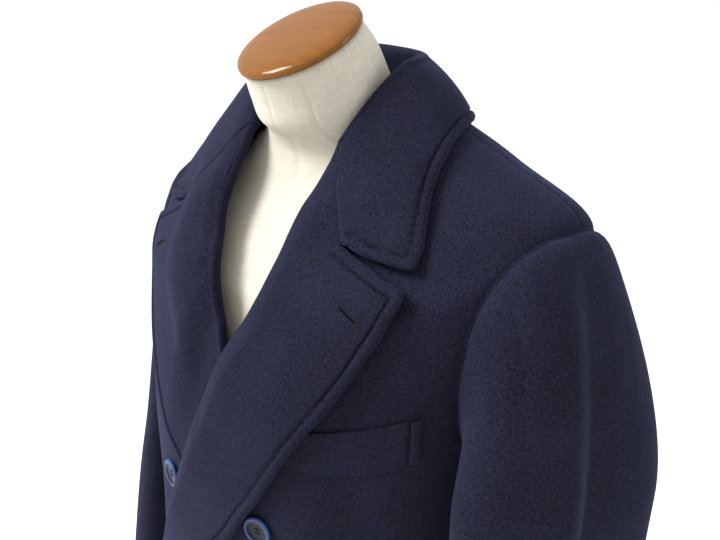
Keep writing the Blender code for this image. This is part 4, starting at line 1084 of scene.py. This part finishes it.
def make_buttons():
    button, stitches = button_pattern(), thread_pattern()
    for row, top in enumerate(BUTTON_LEVELS, 1):
        for side, angle in BUTTON_ANGLES.items():
            level = top - BUTTON_DROP[side]
            on_side = -1 if side < 0 and row == 1 else 1
            turn = Vector(outward(angle, level)).to_track_quat("Z", "Y").to_matrix().to_4x4()
            place = Matrix.Translation(surface(angle, level, on_side, CLOTH + EASE)) @ turn
            label = f"{SIDE_NAMES[side]}_{row}"
            horn_button = placed_copy(button, "horn_button_" + label, place, "polished horn")
            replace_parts(horn_button, "button_" + label)
            placed_copy(stitches, "button_thread_" + label, place, "buttonhole twist")
    discard(button, stitches)


def worked_hole(name, cloth_piece, level, angle, heading):
    """A straight buttonhole: a dark plate of painted shade for its slit, and purl stitches down both
    lips and round the ends.
    """
    mesh = cloth_piece.data
    tree = BVHTree.FromPolygons([v.co for v in mesh.vertices], [p.vertices for p in mesh.polygons])
    start = Vector(coat(angle, level, HOLE_PROBE))
    place, facing, _, _ = tree.ray_cast(start, -Vector(outward(angle, level)))
    if place is None:
        raise RuntimeError(f"{name} has no cloth under it")
    level_way = Vector((0, 0, 1)).cross(facing).normalized()
    way = Matrix.Rotation(math.radians(heading), 3, facing) @ level_way
    across = facing.cross(way)
    axes = Matrix((way, across, facing)).transposed()
    deselect()
    bpy.ops.mesh.primitive_uv_sphere_add(segments=10, ring_count=6, radius=0.5)
    stitch = bpy.context.object
    stretch(PURL_WIDTH, PURL_LENGTH, PURL_HEIGHT)
    bpy.ops.object.shade_smooth()
    lip, half = PURL_LENGTH / 2 + LIP_GAP, HOLE_LENGTH / 2
    row = np.linspace(-half, half, round(HOLE_LENGTH / PURL_WIDTH) + 1)
    spots = [(x, s * lip, 90 * s) for s in (1, -1) for x in row]
    spots += [(s * (half + lip * math.cos(a)), lip * math.sin(a), math.degrees(a) + 90 * (1 - s))
              for s in (1, -1) for a in np.radians((-60, -30, 0, 30, 60))]
    copies = []
    for x, y, turn in spots:
        foot = place + way * x + across * y
        hit, _, _, _ = tree.ray_cast(foot + facing * 0.01, -facing)
        spin = axes @ Matrix.Rotation(math.radians(turn - 90), 3, "Z")
        copies.append(link("stitch", stitch.data.copy()))
        copies[-1].data.transform(Matrix.Translation(hit or foot) @ spin.to_4x4())
    purl = joined(copies[0], copies)
    placed_copy(purl, name, Matrix.Identity(4), "buttonhole twist")
    deselect()
    # A near-black plate, painted shade, stands in for the shadowed slit.
    bpy.ops.mesh.primitive_cylinder_add(vertices=16, radius=SLIT_RADIUS, depth=SLIT_DEPTH)
    slit = bpy.context.object
    stretch(half / SLIT_RADIUS, 1, 1)
    placed_copy(slit, name + "_slit", Matrix.Translation(place) @ axes.to_4x4(),
                "cut wool in shadow")
    discard(stitch, purl, slit)


# ---------------------------------------------------------------- dress form
def form_ring(row):
    """Ring of the form's torso or neck, tipped forward and to one side about its middle."""
    z, half, middle_y, front, back, lean, tip = row
    angle = np.linspace(0, math.tau, FORM_SIDES, endpoint=False)
    s, c = np.sin(angle), np.cos(angle)
    power = 2 / (2 + (SQUARENESS - 2) * ramp(half, *ROUND_TO_SQUARE))
    seam = np.degrees(angle)[:, None] - np.array(FORM_SEAMS + (360,))
    sink = FORM_SEAM_DEPTH * bell(np.radians(seam) * half, FORM_SEAM_WIDTH).sum(1)
    x = (half - sink) * np.sign(s) * np.abs(s)**power
    y = np.where(c > 0, sink - front, back - sink) * np.abs(c)**power
    lean = math.radians(lean)
    rise = y * math.sin(lean) + x * math.tan(math.radians(tip))
    return np.stack([x, middle_y + y * math.cos(lean), z + rise], -1)


def make_torso():
    """The padded torso and neck under tight linen, closed above and below."""
    table = np.array(FORM_RINGS)
    walk = walked(table[:, (0, 1)])
    places = np.concatenate([np.linspace(a, b, max(1, round((b - a) / FORM_PITCH)), endpoint=False)
                             for a, b in zip(walk, walk[1:])] + [walk[-1:]])
    rows = smooth_rows(walk, table, places)
    grid = np.array([form_ring(row) for row in rows])
    count, sides = grid.shape[:2]
    index = np.arange(count * sides).reshape(count, sides)
    after = np.roll(index, -1, 1)
    quads = np.stack([index[:-1], after[:-1], after[1:], index[1:]], -1).reshape(-1, 4)
    mesh = bpy.data.meshes.new("form_torso_linen")
    mesh.from_pydata(grid.reshape(-1, 3).tolist(), [],
                     quads.tolist() + [index[0, ::-1].tolist(), index[-1].tolist()])
    threads = mesh.uv_layers.new(name="threads")
    turn = np.arange(sides + 1) / sides
    for face, polygon in enumerate(mesh.polygons):
        row, column = divmod(face, sides)
        for corner, loop in enumerate(polygon.loop_indices[:4]):
            at = min(row + (corner > 1), count - 1)
            along_ring = turn[column + (corner in (1, 2))] if row < count - 1 else 0
            threads.data[loop].uv = (along_ring * math.tau * rows[at, 1], places[at])
    mesh.shade_smooth()
    piece = add_piece("form_torso_linen", mesh, "plain linen")
    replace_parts(piece, "form_torso")


def make_stand():
    """The turned neck cap, the pole and the weighted base."""
    upright = Matrix.Identity(4)
    tilt = (Matrix.Translation(CAP_PLACE) @ Matrix.Rotation(math.radians(-CAP_TIP), 4, "Y")
            @ Matrix.Rotation(math.radians(CAP_LEAN), 4, "X"))
    wood, steel = ("varnished beech", "varnished_wood"), ("brushed steel", "brushed_steel")
    for name, node_name, profile, points, sides, place, (kind, slot) in (
            ("neck_cap_wood", "neck_cap", CAP_PROFILE, 60, 128, tilt, wood),
            ("stand_pole_steel", "stand_pole", POLE_PROFILE, 4, 48, upright, steel),
            ("stand_base_wood", "stand_base", BASE_PROFILE, 48, 160, upright, wood)):
        pattern = turned(name + "_pattern", profile, points, sides)
        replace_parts(placed_copy(pattern, name, place, kind), node_name)
        discard(pattern)


# ---------------------------------------------------------------- materials
def srgb(code):
    """Linear colour from an sRGB hex value."""
    parts = [int(code[i:i + 2], 16) / 255 for i in (1, 3, 5)]
    return tuple(c / 12.92 if c <= 0.04045 else ((c + 0.055) / 1.055)**2.4 for c in parts) + (1.0,)


def fill(made, inputs):
    """Gives a node its inputs. Each is a value or another node's output."""
    for name, value in dict(inputs).items():
        if isinstance(value, bpy.types.NodeSocket):
            made.id_data.links.new(value, made.inputs[name])
        else:
            made.inputs[name].default_value = value


def node(tree, kind, output, inputs=(), **settings):
    """Adds a node with its settings and inputs, and returns its output of that name."""
    made = tree.nodes.new("ShaderNode" + kind)
    for name, value in settings.items():
        setattr(made, name, value)
    fill(made, inputs)
    return made.outputs[output]


def melton_patterns(tree, found):
    line, walk = (node(tree, "Attribute", "Fac", attribute_name=name)
                  for name in ("stitch_line", "stitch_walk"))
    turns = node(tree, "Math", "Value", {0: walk, 1: math.tau / STITCH_PITCH}, operation="MULTIPLY")
    beat = node(tree, "Math", "Value", {0: turns}, operation="SINE")
    held = node(tree, "Math", "Value", {0: beat, 1: 0}, operation="MAXIMUM")
    dimples = node(tree, "Math", "Value", {0: line, 1: held}, operation="MULTIPLY")
    return {"stitch_line": line, "dimples": dimples}


def horn_patterns(tree, found):
    # The rim mask, which lays the painted highlight on the raised rim.
    return {"rim": node(tree, "Attribute", "Fac", attribute_name="rim")}


def linen_patterns(tree, found):
    threads = node(tree, "UVMap", "UV", uv_map="threads")
    warp, weft = (node(tree, "TexWave", "Fac", {"Scale": WAVE_SCALE / LINEN_THREAD, "Vector": threads},
                       bands_direction=way) for way in "XY")
    weave = node(tree, "Math", "Value", {0: warp, 1: weft}, operation="MULTIPLY")
    both = {0: found["slubs_across"], 1: found["slubs_along"]}
    return {"weave": weave, "slubs": node(tree, "Math", "Value", both, operation="ADD")}


def beech_patterns(tree, found):
    pores = {0: found["pores"], 1: PORE_LEVEL}
    return {"open_pores": node(tree, "Math", "Value", pores, operation="GREATER_THAN")}


def steel_patterns(tree, found):
    return {"gloss": node(tree, "MapRange", "Result", {"Value": found["lines"], "To Min": 0.22,
                                                       "To Max": 0.42})}


# Each finish has its shader's values; its noises, by the size of their spots in metres, detail,
# roughness and stretch; a shade, which is a start and patterns times weights; its colours, the
# first one and those laid over it by a pattern; and its bumps, by pattern, strength and metres.
FINISHES = {
    # Milled wool melton is dyed in the fibre, felted and shorn, so that a short nap hides the
    # weave. The nap makes it matt, with a blue-grey bloom at grazing angles, and tufts of fibre
    # that took the dye unevenly mottle it. Tufts are about 1 mm wide, and are drawn 1.7 mm wide so
    # that they show. Along a line of stitches the colour is darkened: painted shade in the sunk groove.
    "milled wool melton": dict(
        shader={"Roughness": 0.95, "IOR": 1.45, "Specular IOR Level": 0.12, "Sheen Weight": 0.18,
                "Sheen Roughness": 0.36, "Sheen Tint": "melton_bloom"},
        noises={"tufts": (0.0017, 3, 0.75, None), "drift": (0.060, 2, 0.5, None),
                "nap": (0.0012, 3, 0.8, (1, 1, 0.4))},
        patterns=melton_patterns,
        # The stitch line's negative weight paints shade into the stitches' sunk groove.
        shade=(-1.05, {"tufts": 2.6, "drift": 0.5, "stitch_line": -0.45}),
        colours=("melton_dark", ("melton_light", "shade")),
        bumps=(("dimples", 1.0, -0.00022), ("tufts", 0.6, 0.0010), ("nap", 0.55, 0.0007))),
    # Dyed and polished horn is smooth and faintly clouded where it took the dye unevenly. Its
    # raised rim is painted paler and bluer as a highlight, which leaves its dished middle darker as
    # painted shade.
    "polished horn": dict(
        shader={"Roughness": 0.34, "IOR": 1.55, "Specular IOR Level": 0.10, "Coat Weight": 0.05,
                "Coat Roughness": 0.12},
        noises={"clouds": (0.006, 3, 0.5, None), "polish": (0.0015, 2, 0.5, None)},
        patterns=horn_patterns,
        colours=("horn_dark", ("horn_light", "clouds"), ("horn_rim_highlight", "rim")),
        bumps=(("polish", 0.10, 0.0003),)),
    # Silk buttonhole twist is tightly twisted, so it has a soft gloss and fine ridges.
    "buttonhole twist": dict(
        shader={"Roughness": 0.70, "Specular IOR Level": 0.2, "Sheen Weight": 0.04,
                "Sheen Roughness": 0.4},
        noises={"strands": (0.0008, 2, 0.5, None)},
        colours=("thread_dark", ("thread_light", "strands")),
        bumps=(("strands", 0.5, 0.0003),)),
    # A near-black plate in each buttonhole is painted shade down in its slit, faintly felted.
    "cut wool in shadow": dict(
        shader={"Roughness": 1.0, "Specular IOR Level": 0.0},
        noises={"felt": (0.0010, 2, 0.5, None)},
        colours=("#040508", ("melton_dark", "felt"))),
    # Plain-woven unbleached linen, stretched, has even threads with thicker slubs both ways. Its
    # threads lie 0.5 mm apart, and are drawn 1.5 mm apart so that the weave shows.
    "plain linen": dict(
        shader={"Roughness": 0.85, "Specular IOR Level": 0.25, "Sheen Weight": 0.15,
                "Sheen Roughness": 0.5},
        noises={"slubs_across": (0.020, 3, 0.6, (1, 14, 1)),
                "slubs_along": (0.020, 3, 0.6, (14, 1, 1))},
        space=("UVMap", "UV", (), {"uv_map": "threads"}),
        patterns=linen_patterns,
        shade=(-0.625, {"slubs": 1, "weave": 0.5}),
        colours=("linen_dark", ("linen_light", "shade")),
        bumps=(("weave", 0.35, 0.0004), ("slubs", 0.30, 0.0005))),
    # Beech, turned, stained orange-brown and varnished, shows a fine straight grain and short
    # pores under a thick clear gloss.
    "varnished beech": dict(
        shader={"Roughness": 0.42, "Specular IOR Level": 0.02, "Coat Weight": 0.4,
                "Coat Roughness": 0.04},
        noises={"figure": (0.055, 2, 0.5, (1, 6, 6)), "grain": (0.045, 4, 0.7, (1, 28, 28)),
                "pores": (0.0090, 2, 0.6, (1, 12, 12))},
        patterns=beech_patterns,
        shade=(-0.45, {"figure": 0.8, "grain": 1.4, "open_pores": -0.35}),
        colours=("wood_dark", ("wood_light", "shade")),
        bumps=(("grain", 0.06, 0.0004),)),
    # Drawn steel tube, brushed along its length, has fine lines along it and a broken gloss.
    "brushed steel": dict(
        shader={"Metallic": 1.0, "Roughness": "gloss"},
        noises={"lines": (0.040, 3, 0.7, (60, 60, 1))},
        patterns=steel_patterns,
        colours=("steel_dark", ("steel_light", "lines")),
        bumps=(("lines", 0.15, 0.0002),)),
    # Matt white floor paint, rolled, has a faint orange peel and no gloss.
    "matt white floor paint": dict(
        shader={"Roughness": 0.95, "Specular IOR Level": 0.1},
        noises={"peel": (0.004, 2, 0.5, None)},
        colours=("#fcfcfc", ("#ffffff", "peel")),
        bumps=(("peel", 0.05, 0.0002),)),
}


def named_colour(name):
    """Colour by its hex value or by the name of the user's property."""
    return srgb(name) if name[0] == "#" else getattr(bpy.context.scene.overcoat_colours, name)


def finish(kind):
    """The finish of that name, made when it is first asked for."""
    if kind in bpy.data.materials:
        return bpy.data.materials[kind]
    recipe = FINISHES[kind]
    made = bpy.data.materials.new(kind)
    made.use_nodes = True
    tree = made.node_tree
    type_name, output, inputs, settings = recipe.get("space", ("TexCoord", "Object", (), {}))
    space = node(tree, type_name, output, inputs, **settings)
    found = {}
    for name, (size, detail, roughness, stretched) in recipe["noises"].items():
        vector = space
        if stretched:
            vector = node(tree, "Mapping", "Vector", {"Vector": space, "Scale": stretched})
        found[name] = node(tree, "TexNoise", "Fac", {"Vector": vector, "Scale": 1 / size,
                                                     "Detail": detail, "Roughness": roughness})
    if "patterns" in recipe:
        found.update(recipe["patterns"](tree, found))
    shade, weights = recipe.get("shade", (0, {}))
    for name, weight in weights.items():
        found["shade"] = shade = node(tree, "Math", "Value", {0: found[name], 1: weight, 2: shade},
                                      operation="MULTIPLY_ADD")
    first, *others = recipe["colours"]
    base = named_colour(first)
    for over, pattern in others:
        base = node(tree, "Mix", "Result", {"A": base, "B": named_colour(over),
                                            "Factor": found[pattern]}, data_type="RGBA")
    shader = {"Base Color": base}
    for name, value in recipe["shader"].items():
        if isinstance(value, str):
            value = found[value] if value in found else named_colour(value)
        shader[name] = value
    for pattern, strength, distance in recipe.get("bumps", ()):
        before = {"Normal": shader["Normal"]} if "Normal" in shader else {}
        shader["Normal"] = node(tree, "Bump", "Normal", {"Height": found[pattern], "Distance": distance,
                                                         "Strength": strength, **before})
    fill(tree.nodes["Principled BSDF"], shader)
    return made


# ---------------------------------------------------------------- stage
CAMERA_PLACE = (0.592, -0.6365, 1.6505)
CAMERA_YAW, CAMERA_PITCH, CAMERA_ROLL = 42.1, 19.7, 1.7
CAMERA_LENS, CAMERA_SENSOR = 47.25, 36.0
FLOOR_RADIUS = 40.0
SURROUND = 1.05           # strength of the white surround
# Name, place, target, size, power and colour of each light.
LIGHTS = (("window", (-1.35, -1.75, 3.1), (0, -0.05, 1.30), (1.2, 1.2), 142, (0.95, 0.97, 1.0)),
          ("rim_light", (1.9, 1.2, 2.2), (0.15, 0.0, 1.30), (0.8, 1.6), 10, (0.90, 0.94, 1.0)))


def make_camera():
    yaw, pitch = math.radians(CAMERA_YAW), math.radians(CAMERA_PITCH)
    ahead = Vector((-math.sin(yaw) * math.cos(pitch), math.cos(yaw) * math.cos(pitch),
                    -math.sin(pitch)))
    right = ahead.cross(Vector((0, 0, 1))).normalized()
    roll = Matrix.Rotation(math.radians(-CAMERA_ROLL), 3, ahead)
    turn = Matrix((roll @ right, roll @ right.cross(ahead), -ahead)).transposed().to_4x4()
    data = bpy.data.cameras.new("camera")
    data.lens, data.sensor_width, data.clip_start = CAMERA_LENS, CAMERA_SENSOR, 0.01
    camera = link("camera", data)
    camera.matrix_world = Matrix.Translation(CAMERA_PLACE) @ turn
    bpy.context.scene.camera = camera


def make_stage():
    scene = bpy.context.scene
    scene.view_settings.view_transform = "Standard"
    scene.world = bpy.data.worlds.new("studio")
    scene.world.use_nodes = True
    fill(scene.world.node_tree.nodes["Background"], {"Color": (1, 1, 1, 1), "Strength": SURROUND})
    deselect()
    bpy.ops.mesh.primitive_circle_add(vertices=96, radius=FLOOR_RADIUS, fill_type="NGON")
    floor = bpy.context.object
    floor.name = "studio_floor"
    floor.data.materials.append(finish("matt white floor paint"))
    for name, place, target, size, power, tint in LIGHTS:
        data = bpy.data.lights.new(name, "AREA")
        data.shape, data.energy, data.color = "RECTANGLE", power, tint
        data.size, data.size_y = size
        light = link(name, data)
        light.location = place
        light.rotation_euler = (Vector(target) - Vector(place)).to_track_quat("-Z", "Y").to_euler()


# ---------------------------------------------------------------- add-on
def length(name, description, default):
    return FloatProperty(name=name, description=description, default=default, min=0, unit="LENGTH")


def colour(name, description, code):
    return FloatVectorProperty(name=name, description=description, default=srgb(code), size=4,
                               min=0, max=1, subtype="COLOR")


class OvercoatSizes(bpy.types.PropertyGroup):
    """Sizes of the stitching that a tailor would choose"""
    stitch_inset: length("Stitch inset", "From an edge to its line of stitches", 0.0100)
    stitch_depth: length("Stitch depth", "How deep the stitches sink the cloth", 0.0017)
    stitch_width: length("Stitch width", "Half width of the sunken line", 0.0010)
    swell: length("Swell", "How far the cloth stands up outside the stitches", 0.0010)


class OvercoatColours(bpy.types.PropertyGroup):
    """Colours of the cloth, the buttons and the form"""
    melton_dark: colour("Melton, dark fibre", "The darker of the wool's two shades", "#07080e")
    melton_light: colour("Melton, light fibre", "The lighter of the wool's two shades", "#232336")
    melton_bloom: colour("Melton bloom", "Colour of the nap at grazing angles", "#7c8bcc")
    horn_dark: colour("Horn, dark", "The darker cloud in the buttons", "#080a12")
    horn_light: colour("Horn, light", "The lighter cloud in the buttons", "#141a2c")
    # Painted highlight: this colour stands in for light catching the buttons' raised rim.
    horn_rim_highlight: colour("Horn, rim", "The buttons' raised rim", "#33466f")
    thread_dark: colour("Thread, dark", "Shade between the strands of thread", "#07080f")
    thread_light: colour("Thread, light", "Shade of the thread's strands", "#141726")
    linen_dark: colour("Linen, dark", "Shade between the linen's threads", "#aca594")
    linen_light: colour("Linen, light", "Shade of the linen's threads", "#cbc5b7")
    wood_dark: colour("Wood, dark", "The grain's dark lines", "#5c3811")
    wood_light: colour("Wood, light", "The wood between them", "#7b4c1a")
    steel_dark: colour("Steel, dark", "The brushed lines", "#6e6e70")
    steel_light: colour("Steel, light", "The steel between them", "#a4a4a6")


class OVERCOAT_OT_stage(bpy.types.Operator):
    """Make the floor, the lights and the camera"""
    bl_idname = "overcoat.stage"
    bl_label = "Studio"

    def execute(self, context):
        make_stage()
        make_camera()
        return {"FINISHED"}


class OVERCOAT_OT_dress_form(bpy.types.Operator):
    """Make the form's padded torso, its neck cap, its pole and its base"""
    bl_idname = "overcoat.dress_form"
    bl_label = "Dress form"

    def execute(self, context):
        make_torso()
        make_stand()
        return {"FINISHED"}


class OVERCOAT_OT_body(bpy.types.Operator):
    """Make the two fronts and the two halves of the back"""
    bl_idname = "overcoat.body"
    bl_label = "Fronts and back"

    def execute(self, context):
        for side in SIDE_NAMES:
            make_panel(side, back=False)
            make_panel(side, back=True)
        return {"FINISHED"}


class OVERCOAT_OT_collar(bpy.types.Operator):
    """Make the collar: its stand, its fold and its leaf"""
    bl_idname = "overcoat.collar"
    bl_label = "Collar"

    def execute(self, context):
        make_collar()
        return {"FINISHED"}


class OVERCOAT_OT_lapels(bpy.types.Operator):
    """Make both lapels, rolled over from inside the fronts"""
    bl_idname = "overcoat.lapels"
    bl_label = "Lapels"

    def execute(self, context):
        for side in SIDE_NAMES:
            make_lapel(side)
        return {"FINISHED"}


class OVERCOAT_OT_sleeves(bpy.types.Operator):
    """Make the upper and under half of each sleeve"""
    bl_idname = "overcoat.sleeves"
    bl_label = "Sleeves"

    def execute(self, context):
        for side in SIDE_NAMES:
            make_sleeve(side)
        return {"FINISHED"}


class OVERCOAT_OT_welt(bpy.types.Operator):
    """Make the welt of the breast pocket"""
    bl_idname = "overcoat.welt"
    bl_label = "Breast welt"

    def execute(self, context):
        make_welt()
        return {"FINISHED"}


class OVERCOAT_OT_buttonholes(bpy.types.Operator):
    """Work a buttonhole in each lapel, and one beside each button that closes the coat"""
    bl_idname = "overcoat.buttonholes"
    bl_label = "Buttonholes"

    def execute(self, context):
        for name, on_piece, *place in BUTTONHOLES:
            worked_hole(name, bpy.data.objects[on_piece], *place)
        return {"FINISHED"}


class OVERCOAT_OT_buttons(bpy.types.Operator):
    """Turn a button, drill it, and sew six of them on"""
    bl_idname = "overcoat.buttons"
    bl_label = "Buttons"

    def execute(self, context):
        make_buttons()
        return {"FINISHED"}


OPERATORS = (OVERCOAT_OT_stage, OVERCOAT_OT_dress_form, OVERCOAT_OT_body, OVERCOAT_OT_collar,
             OVERCOAT_OT_lapels, OVERCOAT_OT_sleeves, OVERCOAT_OT_welt, OVERCOAT_OT_buttonholes,
             OVERCOAT_OT_buttons)


class OVERCOAT_PT_pieces(bpy.types.Panel):
    """Sizes, colours and pieces of the overcoat"""
    bl_label = "Overcoat"
    bl_space_type = "VIEW_3D"
    bl_region_type = "UI"
    bl_category = "Overcoat"

    def draw(self, context):
        for group in (context.scene.overcoat_sizes, context.scene.overcoat_colours):
            for name in group.__annotations__:
                self.layout.prop(group, name)
        for operator in OPERATORS:
            self.layout.operator(operator.bl_idname)


CLASSES = (OvercoatSizes, OvercoatColours, *OPERATORS, OVERCOAT_PT_pieces)


def register():
    for made in CLASSES:
        bpy.utils.register_class(made)
    bpy.types.Scene.overcoat_sizes = PointerProperty(type=OvercoatSizes)
    bpy.types.Scene.overcoat_colours = PointerProperty(type=OvercoatColours)


def unregister():
    del bpy.types.Scene.overcoat_colours, bpy.types.Scene.overcoat_sizes
    for made in reversed(CLASSES):
        bpy.utils.unregister_class(made)


def main():
    register()
    bpy.ops.overcoat.stage()
    bpy.ops.overcoat.dress_form()
    bpy.ops.overcoat.body()
    bpy.ops.overcoat.collar()
    bpy.ops.overcoat.lapels()
    bpy.ops.overcoat.sleeves()
    bpy.ops.overcoat.welt()
    bpy.ops.overcoat.buttonholes()
    bpy.ops.overcoat.buttons()


if __name__ == "__main__":
    main()
